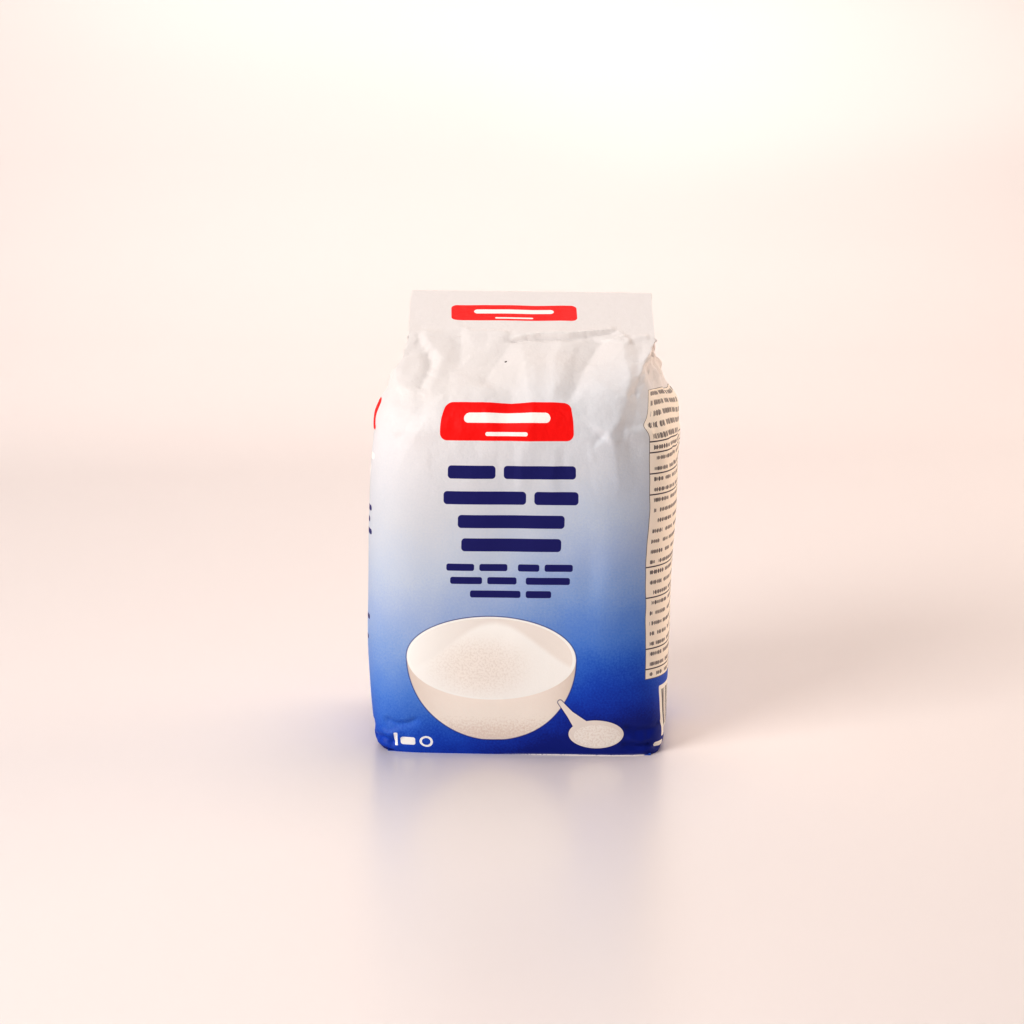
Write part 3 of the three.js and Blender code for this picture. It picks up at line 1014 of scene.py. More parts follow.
@dataclass(frozen=True)
class FrontPrint(Print):
    """What is printed on the front and, again, on the back: plaques, rows of bars and a bowl."""

    skew: float = math.radians(0.6)
    plaques: tuple[Bar, ...] = (
        Bar(-29.5, 23.5, 125.6, 17.0, 4.0),
        Bar(-32.5, 22.5, 188.8, 14.0, 3.6),
    )
    plaque_bars: tuple[Bar, ...] = (
        Bar(-20.0, 14.0, 126.8, 4.6),
        Bar(-11.0, 5.0, 120.9, 1.5),
        Bar(-22.0, 12.0, 189.8, 3.6),
        Bar(-13.0, 3.0, 184.8, 1.2),
    )
    rows: tuple[Bar, ...] = (
        *row(107.0, 4.9, 1.4, (-25.0, -7.0), (-4.0, 23.0)),
        *row(97.6, 4.9, 1.4, (-26.5, 4.5), (7.5, 24.0)),
        *row(88.9, 4.9, 1.4, (-21.0, 19.0)),
        *row(80.3, 4.9, 1.4, (-19.5, 18.0)),
        *row(71.9, 2.6, 0.8, (-25.0, -14.5), (-12.5, -2.0), (2.0, 10.0), (12.0, 22.5)),
        *row(67.0, 2.6, 0.8, (-23.5, -11.5), (-9.5, 1.5), (5.0, 21.5)),
        *row(62.0, 2.6, 0.8, (-16.0, 3.0), (5.0, 14.5)),
    )
    weight_bars: tuple[Bar, ...] = (
        Bar(-46.8, -45.4, 5.4, 5.0, 0.3),
        Bar(-44.2, -38.4, 4.9, 3.0, 0.9),
    )
    ring_middle: Place = (-34.2, 4.9)
    ring_radii: Place = (2.6, 2.2)
    ring_hole: float = 0.62
    bowl_middle: Place = (-8.5, 37.7)
    bowl_radii: Place = (32.0, 15.8)
    bowl_depth: float = 31.8
    bowl_foot: float = 6.1
    bowl_shade: Place = (5.0, 24.0)
    bowl_grain: float = 1.1
    bowl_rim: float = 0.96
    bowl_outside: tuple[tuple[float, Colour], ...] = (
        (0.0, srgb(234, 217, 205)),
        (0.5, srgb(250, 240, 230)),
        (1.0, srgb(250, 238, 228)),
    )
    bowl_side: Colour = srgb(226, 219, 215)
    bowl_wall: tuple[tuple[float, Colour], ...] = (
        (0.0, srgb(252, 248, 243)),
        (0.5, srgb(240, 231, 224)),
        (1.0, srgb(247, 238, 230)),
    )
    heap_base: float = 29.5
    heap_rise: float = 22.0
    heap_middle: float = -7.0
    heap_half: float = 24.0
    heap_edge: Place = (-1.2, 1.8)
    core_middle: Place = (-13.0, 34.5)
    core_radii: Place = (21.0, 13.0)
    core_edge: Place = (0.25, 1.2)
    core_colour: Colour = srgb(250, 241, 233)
    grain_colour: Colour = srgb(222, 209, 199)
    spoon_middle: Place = (30.0, 8.4)
    spoon_radii: Place = (10.4, 5.6)
    spoon_colour: Colour = srgb(240, 229, 220)
    spoonful_middle: Place = (30.4, 7.8)
    spoonful_radii: Place = (8.8, 4.3)
    spoonful_light: Colour = srgb(250, 242, 234)
    spoonful_dark: Colour = srgb(238, 226, 216)
    handle: tuple[tuple[Place, float], ...] = (
        ((17.2, 21.0), 0.8),
        ((20.6, 16.4), 1.4),
        ((24.6, 11.6), 3.0),
    )
    outline: float = 0.35
    outline_share: float = 0.75
    speck_middle: Place = (-6.5, 157.0)
    speck_radii: Place = (0.5, 0.5)
    speck_colour: Colour = srgb(70, 60, 62)

    def _oval(
        self, graph: Graph, place: Socket, middle: Place, radii: Place, grown: float = 0.0
    ) -> tuple[Socket, Socket]:
        """Where an oval is, grown all round by that many millimetres, and the radius there."""
        made = graph.group(
            self.shapes.oval,
            Place=place,
            Middle=(*middle, 0.0),
            Radii=(radii[0] + grown, radii[1] + grown, 1.0),
        )
        return made.outputs["Mask"], made.outputs["Radius"]

    def _body(self, graph: Graph, place: Socket, y: Socket, grown: float) -> Socket:
        """Where the bowl's outside is, grown all round by that many millimetres."""
        radii = (self.bowl_radii[0], self.bowl_depth)
        whole, _ = self._oval(graph, place, self.bowl_middle, radii, grown)
        below = graph.math("LESS_THAN", y, self.bowl_middle[1])
        foot = graph.minus(y, self.bowl_foot - grown)
        foot = graph.scaled(foot, 1.0 / self.shapes.softness, 0.5, clamp=True)
        return graph.times(whole, graph.times(below, foot))

    def _bowl(self, graph: Graph, place: Socket, under: Socket, grain: Socket) -> Socket:
        """The bowl of sugar, over the colour under it."""
        x, y = graph.split(place)
        line, _ = self._oval(graph, place, self.bowl_middle, self.bowl_radii, self.outline)
        lined = graph.math("MAXIMUM", line, self._body(graph, place, y, self.outline))
        painted = graph.mix(graph.times(lined, self.outline_share), under, self.navy)
        rim, radius = self._oval(graph, place, self.bowl_middle, self.bowl_radii)
        outside = graph.span(y, *self.bowl_shade)
        outside = graph.scaled(graph.minus(grain, 0.5), self.bowl_grain, outside)
        body_colour = graph.ramp(outside, self.bowl_outside)
        sided = graph.ratio(graph.minus(x, self.bowl_middle[0]), self.bowl_radii[0])
        beside = graph.math("POWER", graph.math("ABSOLUTE", sided), 4.0)
        body_colour = graph.mix(beside, body_colour, self.bowl_side, "MULTIPLY")
        painted = graph.mix(self._body(graph, place, y, 0.0), painted, body_colour)
        wall = graph.ramp(graph.scaled(sided, 0.5, 0.5), self.bowl_wall)
        painted = graph.mix(rim, painted, self.white)
        inner = graph.math("LESS_THAN", radius, self.bowl_rim)
        painted = graph.mix(inner, painted, wall)
        heap_top = graph.hump(x, self.heap_middle, self.heap_half)
        heap_top = graph.scaled(heap_top, self.heap_rise, self.heap_base)
        heap = graph.times(graph.span(graph.minus(heap_top, y), *self.heap_edge), inner)
        _, from_core = self._oval(graph, place, self.core_middle, self.core_radii)
        core_share = graph.span(from_core, *self.core_edge, 1.0, 0.0)
        speck = graph.times(graph.span(grain, 0.40, 0.70), core_share)
        heap_colour = graph.mix(core_share, self.white, self.core_colour)
        heap_colour = graph.mix(graph.times(speck, 0.4), heap_colour, self.grain_colour)
        return graph.mix(heap, painted, heap_colour)

    def _stroke(
        self, graph: Graph, place: Socket, start: Place, end: Place, widths: Place
    ) -> Socket:
        """Where a stroke is that goes from one half width to another."""
        made = graph.group(
            self.shapes.taper,
            Place=place,
            From=(*start, 0.0),
            Along=(end[0] - start[0], end[1] - start[1], 0.0),
            Start=widths[0],
            End=widths[1],
        )
        return made.outputs["Mask"]

    def _spoon(self, graph: Graph, place: Socket, under: Socket, grain: Socket) -> Socket:
        """The spoon beside the bowl, over the colour under it."""
        masks = []
        for grown in (self.outline, 0.0):
            parts = [self._oval(graph, place, self.spoon_middle, self.spoon_radii, grown)[0]]
            for (start, half), (end, end_half) in zip(self.handle, self.handle[1:]):
                widths = (half + grown, end_half + grown)
                parts.append(self._stroke(graph, place, start, end, widths))
            masks.append(all_of(graph, parts))
        heap, _ = self._oval(graph, place, self.spoonful_middle, self.spoonful_radii)
        painted = graph.mix(graph.times(masks[0], self.outline_share), under, self.navy)
        painted = graph.mix(masks[1], painted, self.spoon_colour)
        dark = graph.span(grain, 0.35, 0.75)
        shaded = graph.mix(dark, self.spoonful_light, self.spoonful_dark)
        return graph.mix(heap, painted, shaded)

    def paint(self, graph: Graph, place: Socket, under: Socket, grain: Socket) -> Socket:
        """Prints all of it.

        Args:
            graph: The graph to draw in.
            place: Millimetres from the panel's middle and from the bottom fold.
            under: The colour already there.
            grain: Fine noise from 0 to 1.

        Returns:
            The printed colour.
        """
        turned = graph.node("ShaderNodeMapping")
        graph.feed(turned.inputs["Vector"], place)
        turned.inputs["Rotation"].default_value = (0.0, 0.0, -self.skew)
        place = turned.outputs[0]
        painted = under
        for bars, ink in (
            (self.rows, self.navy),
            (self.plaques, self.red),
            (self.plaque_bars, self.white),
        ):
            painted = graph.mix(self.bars(graph, place, *bars), painted, ink)
        painted = self._bowl(graph, place, painted, grain)
        painted = self._spoon(graph, place, painted, grain)
        ring, radius = self._oval(graph, place, self.ring_middle, self.ring_radii)
        ring = graph.times(ring, graph.math("GREATER_THAN", radius, self.ring_hole))
        masks = [bar.mask(graph, self.shapes, place) for bar in self.weight_bars]
        painted = graph.mix(all_of(graph, [ring, *masks]), painted, self.white)
        speck, _ = self._oval(graph, place, self.speck_middle, self.speck_radii)
        return graph.mix(speck, painted, self.speck_colour)


@dataclass(frozen=True)
class TablePrint(Print):
    """The ruled table of small lines on the right side, and a field of stripes below it."""

    start: float = 49.7
    end: float = 119.0
    top: float = 137.2
    bottom: float = 29.0
    sway: float = 1.6
    sway_scale: float = 0.06
    slant: float = 4.5
    slant_across: Place = (60.0, 104.0)
    slant_up: Place = (75.0, 125.0)
    corner_shift: float = 7.6
    corner_up: Place = (122.0, 137.0)
    notch: float = 2.0
    notch_height: float = 123.5
    notch_half: float = 2.6
    lines: int = 28
    line_middle: float = 0.54
    tall_lines: float = 5.0
    stroke_half: float = 0.12
    tall_more: float = 0.07
    stroke_more: float = 0.10
    shortest: float = 41.0
    length_spread: float = 26.0
    margin: float = 2.0
    rules_after: tuple[int, ...] = (0, 5, 6, 8, 10, 17, 20, 25, 27, 28)
    rule_half: float = 0.21
    cream: Colour = srgb(253, 241, 228)
    pale: Colour = srgb(250, 243, 234)
    ink: Colour = srgb(44, 38, 58)
    stripes: Bar = Bar(57.0, 96.0, 15.6, 19.6, 0.6)
    stripes_inside: Bar = Bar(59.0, 94.0, 16.4, 14.5, 0.1)
    stripe_scale: float = 0.9
    tag: Bar = Bar(52.8, 58.6, 3.6, 1.9, 0.6)

    @property
    def pitch(self) -> float:
        """From one line to the next."""
        return (self.top - self.bottom) / self.lines

    def _bent(self, graph: Graph, place: Socket) -> tuple[Socket, Socket]:
        """Where a place lies on the straight table, which sways and falls to the right."""
        x, y = graph.split(place)
        sway = graph.noise(y, self.sway_scale, 1.0, along=True)
        x = graph.scaled(graph.minus(sway, 0.5), self.sway, x)
        fallen = graph.times(graph.span(x, *self.slant_across), graph.span(y, *self.slant_up))
        x = graph.minus(x, graph.span(y, *self.corner_up, 0.0, self.corner_shift))
        x = graph.scaled(graph.hump(y, self.notch_height, self.notch_half), self.notch, x)
        return x, graph.scaled(fallen, self.slant, y)

    def _words(self, graph: Graph, x: Socket, y: Socket) -> Socket:
        """How dark the short strokes of the table's lines are."""
        line = graph.ratio(graph.minus(self.top, y), self.pitch)
        index = graph.math("FLOOR", line)
        within = graph.minus(graph.minus(line, index), self.line_middle)
        tall = graph.math("LESS_THAN", index, self.tall_lines)
        stroke = graph.noise(graph.scaled(index, 31.7, x), 1.5, 1.0, along=True)
        stroke = graph.span(stroke, 0.36, 0.64)
        half = graph.scaled(tall, self.tall_more, self.stroke_half)
        half = graph.scaled(stroke, self.stroke_more, half)
        inked = graph.minus(half, graph.math("ABSOLUTE", within))
        inked = graph.times(inked, self.pitch / self.shapes.softness, clamp=True)
        chance = graph.node("ShaderNodeTexWhiteNoise", noise_dimensions="1D")
        graph.feed(chance.inputs["W"], index)
        length = graph.scaled(chance.outputs["Value"], self.length_spread, self.shortest)
        reach = graph.minus(x, self.start + self.margin)
        begun = graph.math("GREATER_THAN", reach, 0.0)
        ends = graph.times(begun, graph.math("LESS_THAN", reach, length))
        words = graph.noise(graph.scaled(index, 17.3, graph.times(x, 0.34)), 1.0, 0.0, along=True)
        text = graph.times(graph.times(inked, ends), graph.span(words, 0.33, 0.37))
        return graph.times(text, graph.scaled(stroke, 0.5, 0.42))

    def _rules(self, graph: Graph, x: Socket, y: Socket) -> Socket:
        """Where the table's rules and its left and right edges are."""
        nearest = 1000.0
        for count in self.rules_after:
            off = graph.math("ABSOLUTE", graph.minus(y, self.top - count * self.pitch))
            nearest = graph.math("MINIMUM", nearest, off)
        left, right = (
            graph.math("ABSOLUTE", graph.minus(x, edge)) for edge in (self.start, self.end)
        )
        nearest = graph.math("MINIMUM", nearest, graph.math("MINIMUM", left, right))
        ruled = graph.minus(self.rule_half, nearest)
        return graph.scaled(ruled, 1.0 / self.shapes.softness, 0.5, clamp=True)

    def paint(self, graph: Graph, place: Socket, under: Socket) -> Socket:
        """Prints the table and the stripes over the colour under them."""
        x, y = self._bent(graph, place)
        place = graph.join(x, y)
        height = self.top - self.bottom
        sheet = Bar(self.start, self.end, (self.top + self.bottom) / 2.0, height, 0.3)
        field_mask = sheet.mask(graph, self.shapes, place)
        inked = graph.math("MAXIMUM", self._words(graph, x, y), self._rules(graph, x, y))
        painted = graph.mix(field_mask, under, self.cream)
        painted = graph.mix(graph.times(inked, field_mask), painted, self.ink)
        painted = graph.mix(self.stripes.mask(graph, self.shapes, place), painted, self.pale)
        striped = graph.span(graph.noise(x, self.stripe_scale, along=True), 0.5, 0.53)
        striped = graph.times(striped, self.stripes_inside.mask(graph, self.shapes, place))
        painted = graph.mix(striped, painted, self.ink)
        return graph.mix(self.tag.mask(graph, self.shapes, place), painted, self.pale)


@dataclass(frozen=True)
class SidePrint(Print):
    """What is printed on the left side: a small plaque and short rows."""

    plaque: Bar = Bar(-26.5, 26.5, 124.6, 15.0, 4.0)
    plaque_bar: Bar = Bar(-17.0, 17.0, 125.4, 4.0)
    pale_rows: tuple[Bar, ...] = (Bar(-28.0, 28.0, 109.5, 2.4), Bar(-23.0, 23.0, 104.5, 2.4))
    rows: tuple[Bar, ...] = (
        *row(90.0, 2.0, None, (-27.5, 4.0), (7.0, 27.0)),
        *row(85.6, 2.0, None, (-24.0, 25.0)),
        *row(81.2, 2.0, None, (-26.0, -4.0), (-1.0, 27.5)),
        Bar(-27.0, 27.0, 49.0, 1.8),
        Bar(-27.0, 18.0, 45.0, 1.8),
        Bar(-27.0, 25.0, 41.0, 1.8),
        Bar(-27.0, 8.0, 37.0, 1.8),
    )

    def paint(self, graph: Graph, place: Socket, under: Socket) -> Socket:
        """Prints it over the colour under it, at millimetres from the side's middle."""
        painted = under
        for bars, ink in (
            (self.rows, self.navy),
            (self.pale_rows, self.white),
            ((self.plaque,), self.red),
            ((self.plaque_bar,), self.white),
        ):
            painted = graph.mix(self.bars(graph, place, *bars), painted, ink)
        return painted


@dataclass(frozen=True)
class PaperSurface:
    """The feel of the uncoated sheet, shared by all the bag's papers."""

    fibre: float = 2.2
    cockle: float = 0.32
    fibre_rise: float = 0.035
    cockle_rise: float = 0.10
    wrinkle_rise: float = 0.34
    roughness: float = 0.46
    roughness_spread: float = 0.16

    def group(self) -> bpy.types.NodeTree:
        """The node group: relief from fibres and fine wrinkles, and an uneven roughness."""
        graph, given, result = new_group(
            "Paper surface",
            {"Place": "Vector", "Wrinkling": "Float"},
            {"Height": "Float", "Roughness": "Float"},
        )
        place = given["Place"]
        fibres = graph.noise(place, self.fibre, 3.0, 0.6)
        cockles = graph.noise(place, self.cockle, 3.0, 0.55)
        rise = graph.scaled(given["Wrinkling"], self.wrinkle_rise, self.cockle_rise)
        height = graph.scaled(fibres, self.fibre_rise, graph.times(cockles, rise))
        graph.feed(result["Height"], height)
        uneven = graph.scaled(fibres, self.roughness_spread, self.roughness)
        graph.feed(result["Roughness"], uneven)
        return graph.tree


@dataclass(frozen=True)
class Feel:
    """How strongly a finish shows the paper's surface. The depth is in millimetres."""

    strength: float
    depth: float
    specular: float = 0.42

    def lay(
        self, graph: Graph, shader: Sockets, surface: bpy.types.NodeTree, place: Socket,
        wrinkling: Value
    ) -> None:
        """Gives a material the paper's roughness and relief.

        Args:
            graph: The material's graph.
            shader: The inputs of its shader.
            surface: The paper surface's node group.
            place: Millimetres along the sheet.
            wrinkling: How wrinkled the paper is, from 0 to 1.
        """
        feel = graph.group(surface, Place=place, Wrinkling=wrinkling)
        graph.feed(shader["Roughness"], feel.outputs["Roughness"])
        bump = graph.node("ShaderNodeBump")
        bump.inputs["Strength"].default_value = self.strength
        bump.inputs["Distance"].default_value = self.depth * MM
        graph.feed(bump.inputs["Height"], feel.outputs["Height"])
        graph.feed(shader["Normal"], bump.outputs[0])
        shader["Specular IOR Level"].default_value = self.specular


@dataclass(frozen=True)
class InkFadeWithPaintedLight:
    """The ground colour of the sheet: bare above, deep blue at the bottom, with painted sheen
    towards the front's left and painted shade towards its right.
    """

    stops: tuple[tuple[float, Colour], ...] = (
        (0.0, srgb(8, 38, 138)),
        (5.0, srgb(12, 54, 162)),
        (10.0, srgb(18, 68, 178)),
        (16.0, srgb(26, 84, 192)),
        (24.0, srgb(58, 114, 206)),
        (33.0, srgb(92, 139, 214)),
        (42.0, srgb(116, 153, 216)),
        (52.0, srgb(145, 172, 218)),
        (64.0, srgb(170, 187, 220)),
        (80.0, srgb(197, 206, 222)),
        (100.0, srgb(214, 216, 222)),
        (128.0, srgb(232, 229, 230)),
        (150.0, srgb(238, 231, 228)),
    )
    reach: float = 150.0
    # How far the fade is raised on the left as painted sheen and lowered on the right as painted
    # shade, in millimetres.
    sheen_shade_tilt: float = 13.0
    repeat: float = 175.0
    speckle: float = 13.0
    cloud: float = 9.0

    def group(self) -> bpy.types.NodeTree:
        """The node group: the ground colour at a place, with its painted sheen and shade, and fine
        grain.
        """
        graph, given, result = new_group(
            "Ink fade with painted light", {"Place": "Vector"}, {"Color": "Color", "Grain": "Float"}
        )
        x, y = graph.split(given["Place"])
        # Painted light: the fade is read higher, so paler, towards the front's left as painted
        # sheen, and lower, so darker, towards its right as painted shade, repeated half way round.
        painted_light_side = graph.math("SINE", graph.times(x, 2.0 * math.pi / self.repeat))
        y = graph.scaled(painted_light_side, -self.sheen_shade_tilt, y)
        grain = graph.noise(given["Place"], 1.25, 2.0, 0.65)
        cloud = graph.noise(given["Place"], 0.07, 2.0, 0.5)
        shifted = graph.scaled(graph.minus(grain, 0.5), self.speckle, y)
        shifted = graph.scaled(graph.minus(cloud, 0.5), self.cloud, shifted)
        share = graph.ratio(shifted, self.reach)
        stops = tuple((height / self.reach, colour) for height, colour in self.stops)
        graph.feed(result["Color"], graph.ramp(share, stops))
        graph.feed(result["Grain"], grain)
        return graph.tree


@dataclass
class PrintedPaper:
    """The finish of the bag: white paper with its print, worn at the folds."""

    tube: PaperTube
    surface: bpy.types.NodeTree
    fade: bpy.types.NodeTree
    shapes: PrintShapes
    bare: Colour = srgb(246, 240, 236)
    feel: Feel = Feel(0.55, 0.9)
    past_fold: float = 1.0
    scuff_over: Place = (0.25, 0.6)
    scuff_least: float = 0.3
    wrinkle_over: Place = (70.0, 150.0)
    wrinkle_least: float = 0.12

    def material(self) -> bpy.types.Material:
        """The bag's material."""
        made, graph, shader = new_material("printed_paper")
        paper = graph.node("ShaderNodeUVMap", uv_map=PAPER_MAP).outputs[0]
        x, y = graph.split(paper)
        fade = graph.group(self.fade, Place=paper)
        grain, colour = fade.outputs["Grain"], fade.outputs["Color"]

        quarter = self.tube.girth / 4.0
        wrapped = graph.math("WRAP", x, quarter, -quarter)
        colour = FrontPrint(self.shapes).paint(graph, graph.join(wrapped, y), colour, grain)
        colour = TablePrint(self.shapes).paint(graph, paper, colour)
        left_middle = Panel.LEFT.middle(self.tube.width, self.tube.depth)
        left_place = graph.join(graph.minus(x, left_middle), y)
        colour = SidePrint(self.shapes).paint(graph, left_place, colour)

        hidden = graph.math("GREATER_THAN", y, self.tube.fold + self.past_fold)
        colour = graph.mix(hidden, colour, self.bare)
        wear = graph.node("ShaderNodeAttribute", attribute_name=WEAR).outputs["Fac"]
        uneven = graph.span(grain, *self.scuff_over, self.scuff_least, 1.0)
        colour = graph.mix(graph.times(wear, uneven, clamp=True), colour, self.bare)
        graph.feed(shader["Base Color"], colour)
        wrinkling = graph.span(y, *self.wrinkle_over, self.wrinkle_least, 1.0)
        self.feel.lay(graph, shader, self.surface, paper, wrinkling)
        return made


@dataclass
class PlainPaper:
    """The finish of the folded bottom: the same sheet, printed blue all over."""

    surface: bpy.types.NodeTree
    name: str = "folded_paper"
    dark: Colour = srgb(26, 78, 176)
    light: Colour = srgb(52, 100, 192)
    feel: Feel = Feel(0.5, 0.8)
    wrinkling: float = 0.5

    def material(self) -> bpy.types.Material:
        """The flaps' material."""
        made, graph, shader = new_material(self.name)
        place = graph.node("ShaderNodeTexCoord").outputs["Object"]
        place = graph.vector("SCALE", place, 1.0 / MM)
        grain = graph.span(graph.noise(place, 1.1, 2.0, 0.65), 0.3, 0.7)
        graph.feed(shader["Base Color"], graph.mix(grain, self.dark, self.light))
        self.feel.lay(graph, shader, self.surface, place, self.wrinkling)
        return made


# --------------------------------------------------------------------------- pieces


def link(name: str, data: bpy.types.ID) -> bpy.types.Object:
    """A new object of the scene, with its data."""
    made = bpy.data.objects.new(name, data)
    bpy.context.scene.collection.objects.link(made)
    return made


def look_along(made: bpy.types.Object, way: Vector) -> None:
    """Turns a camera or a lamp to face along a way."""
    made.rotation_mode = "QUATERNION"
    made.rotation_quaternion = way.to_track_quat("-Z", "Y")


def finished(shape: bmesh.types.BMesh, mesh: bpy.types.Mesh) -> bpy.types.Mesh:
    """Writes a shape to a mesh and lets the shape go."""
    shape.to_mesh(mesh)
    shape.free()
    return mesh


def add_piece(name: str, mesh: bpy.types.Mesh, material: bpy.types.Material) -> bpy.types.Object:
    """Puts a mesh in the scene as a piece of the object, which rides on the bag's body.

    Args:
        name: The piece's name.
        mesh: Its mesh, in metres in the frame.
        material: Its finish.

    Returns:
        The new object.
    """
    piece = link(name, mesh)
    mesh.materials.append(material)
    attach(piece, BODY)
    LOG.info("%s: %d faces", name, len(mesh.polygons))
    return piece


@dataclass
class BagShell:
    """The printed paper from the bottom fold to the end of the hem, with all its folds."""

    tube: PaperTube
    relief: Relief
    front_step: float = 0.75
    side_step: float = 1.1
    back_step: float = 1.3
    bands: tuple[Place, ...] = (
        (14.0, 0.6),
        (95.0, 1.3),
        (167.0, 0.75),
        (178.0, 0.45),
        (203.0, 1.0),
    )
    recess: float = 0.7
    recess_in: float = 0.9
    bent_over: Place = (0.35, 1.1)
    bent_wear: float = 0.5
    bent_heights: Place = (15.0, 60.0)
    edge_height: Place = (0.2, 0.5)
    edge_start: Place = (-12.0, 32.0)
    edge_end: Place = (46.0, 50.0)
    pale_line_strength: float = 2.6
    most_wear: float = 3.0
    bake_round: float = 1.004
    bake_start: float = 0.004
    bake_height: float = 0.86
    bake_caps: Place = (0.5, 0.93)
    caps_size: Place = (0.5, 0.06)
    sharp: float = math.radians(62.0)
    offset: Array = field(init=False)

    def __post_init__(self) -> None:
        """Works out where the tube's axis stands in the frame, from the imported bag's box."""
        low, high = (np.array(corner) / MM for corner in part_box(NODE))
        smooth_form = self.tube.points(self.stations(), self.heights()).reshape(-1, 3)
        middle = (smooth_form.min(0) + smooth_form.max(0)) / 2.0
        self.offset = (low + high) / 2.0 - middle
        self.offset[2] = low[2]

    def stations(self) -> Array:
        """Stations from the middle of the back, round the front, to the back again."""
        tube = self.tube
        marks = [
            (-tube.girth / 2.0, self.back_step),
            (-tube.corner - tube.depth, self.side_step),
            (-tube.corner, self.front_step),
            (tube.corner, self.side_step),
            (tube.corner + tube.depth, self.back_step),
            (tube.girth / 2.0, 0.0),
        ]
        runs = [
            np.linspace(start, end, max(2, round((end - start) / step)), endpoint=False)
            for (start, step), (end, _) in zip(marks, marks[1:])
        ]
        return np.concatenate([*runs, [tube.girth / 2.0]])

    def heights(self) -> Array:
        """Heights along the paper, closer together where it creases most."""
        tube = self.tube
        turn_end = tube.fold + math.pi * tube.hem_radius
        marks = [0.0, 0.22, 0.45]
        for end, step in (*self.bands, (tube.fold, 0.5), (turn_end, 0.25), (tube.end, 2.0)):
            start = marks[-1]
            steps = max(2, round((end - start) / step))
            marks.extend(np.linspace(start, end, steps + 1)[1:].tolist())
        return np.array(marks)

    def surface(self, stations: Array, heights: Array, lift: float = 0.0) -> Array:
        """Points of the creased paper in the frame.

        Args:
            stations: Stations round the tube, in order.
            heights: Heights along it, in order.
            lift: How far above the paper, in millimetres.

        Returns:
            Points in millimetres, one row for each height.
        """
        points = self.tube.points(stations, heights)
        around = np.gradient(points, axis=1)
        if self._closed(stations):
            around[:, 0] = around[:, -1] = points[:, 1] - points[:, -2]
        else:
            around[:, -1] = around[:, 0]
        up = np.gradient(points, axis=0)
        normal = np.cross(around, up)
        normal /= np.linalg.norm(normal, axis=-1, keepdims=True) + 1e-12
        stand = self.relief.at(stations, heights) + lift
        moved = points + normal * stand[..., None]
        moved[..., 2] = np.maximum(moved[..., 2], 0.0)
        return moved + self.offset

    def _closed(self, stations: Array) -> bool:
        """Whether the stations go all the way round."""
        return abs(stations[-1] - stations[0] - self.tube.girth) < 1e-6

    def wear(self, stations: Array, heights: Array) -> Array:
        """How worn the print is on creases, and a pale line along the bottom edge, strongest on the
        right of the front.
        """
        station, height = np.meshgrid(stations, heights)
        relief = self.relief.at(stations, heights)
        bent = sum(
            np.gradient(np.gradient(relief, places, axis=axis), places, axis=axis)
            for axis, places in ((1, stations), (0, heights))
        )
        worn = smooth(-bent, *self.bent_over) * self.bent_wear * smooth(height, *self.bent_heights)
        # A pale line along the bottom edge, fading in from the front's middle and out at its right
        # corner.
        edge = (1.0 - smooth(height, *self.edge_height)) * smooth(station, *self.edge_start)
        edge = edge * (1.0 - smooth(station, *self.edge_end))
        return np.clip(worn + self.pale_line_strength * edge, 0.0, self.most_wear)

    def mesh(self) -> bpy.types.Mesh:
        """The shell as a closed mesh, with the paper's own map and its wear."""
        stations, heights = self.stations(), self.heights()
        columns, rows = len(stations) - 1, len(heights) - 1
        grid = bmesh.new()
        bmesh.ops.create_grid(grid, x_segments=columns, y_segments=rows, size=1.0)
        mesh = finished(grid, bpy.data.meshes.new("bag_shell"))

        flat = np.empty(len(mesh.vertices) * 3)
        mesh.vertices.foreach_get("co", flat)
        flat = flat.reshape(-1, 3)
        column = np.rint((flat[:, 0] + 1.0) / 2.0 * columns).astype(int)
        row = np.rint((flat[:, 1] + 1.0) / 2.0 * rows).astype(int)
        points = self.surface(stations, heights)
        points[:, -1] = points[:, 0]
        mesh.vertices.foreach_set("co", (points[row, column] * MM).ravel())
        wear = mesh.attributes.new(WEAR, "FLOAT", "POINT")
        wear.data.foreach_set("value", self.wear(stations, heights)[row, column])

        corners = np.empty(len(mesh.loops), dtype=int)
        mesh.loops.foreach_get("vertex_index", corners)
        bake_across = 0.5 + stations / (self.tube.girth * self.bake_round)
        bake_up = self.bake_start + heights / self.tube.end * self.bake_height
        for name, across, up in (
            (PAPER_MAP, stations, heights),
            (BAKE_MAP, bake_across, bake_up),
        ):
            layer = mesh.uv_layers.new(name=name)
            places = np.stack([across[column[corners]], up[row[corners]]], axis=-1)
            layer.data.foreach_set("uv", places.ravel())
        self._close(mesh)
        return mesh

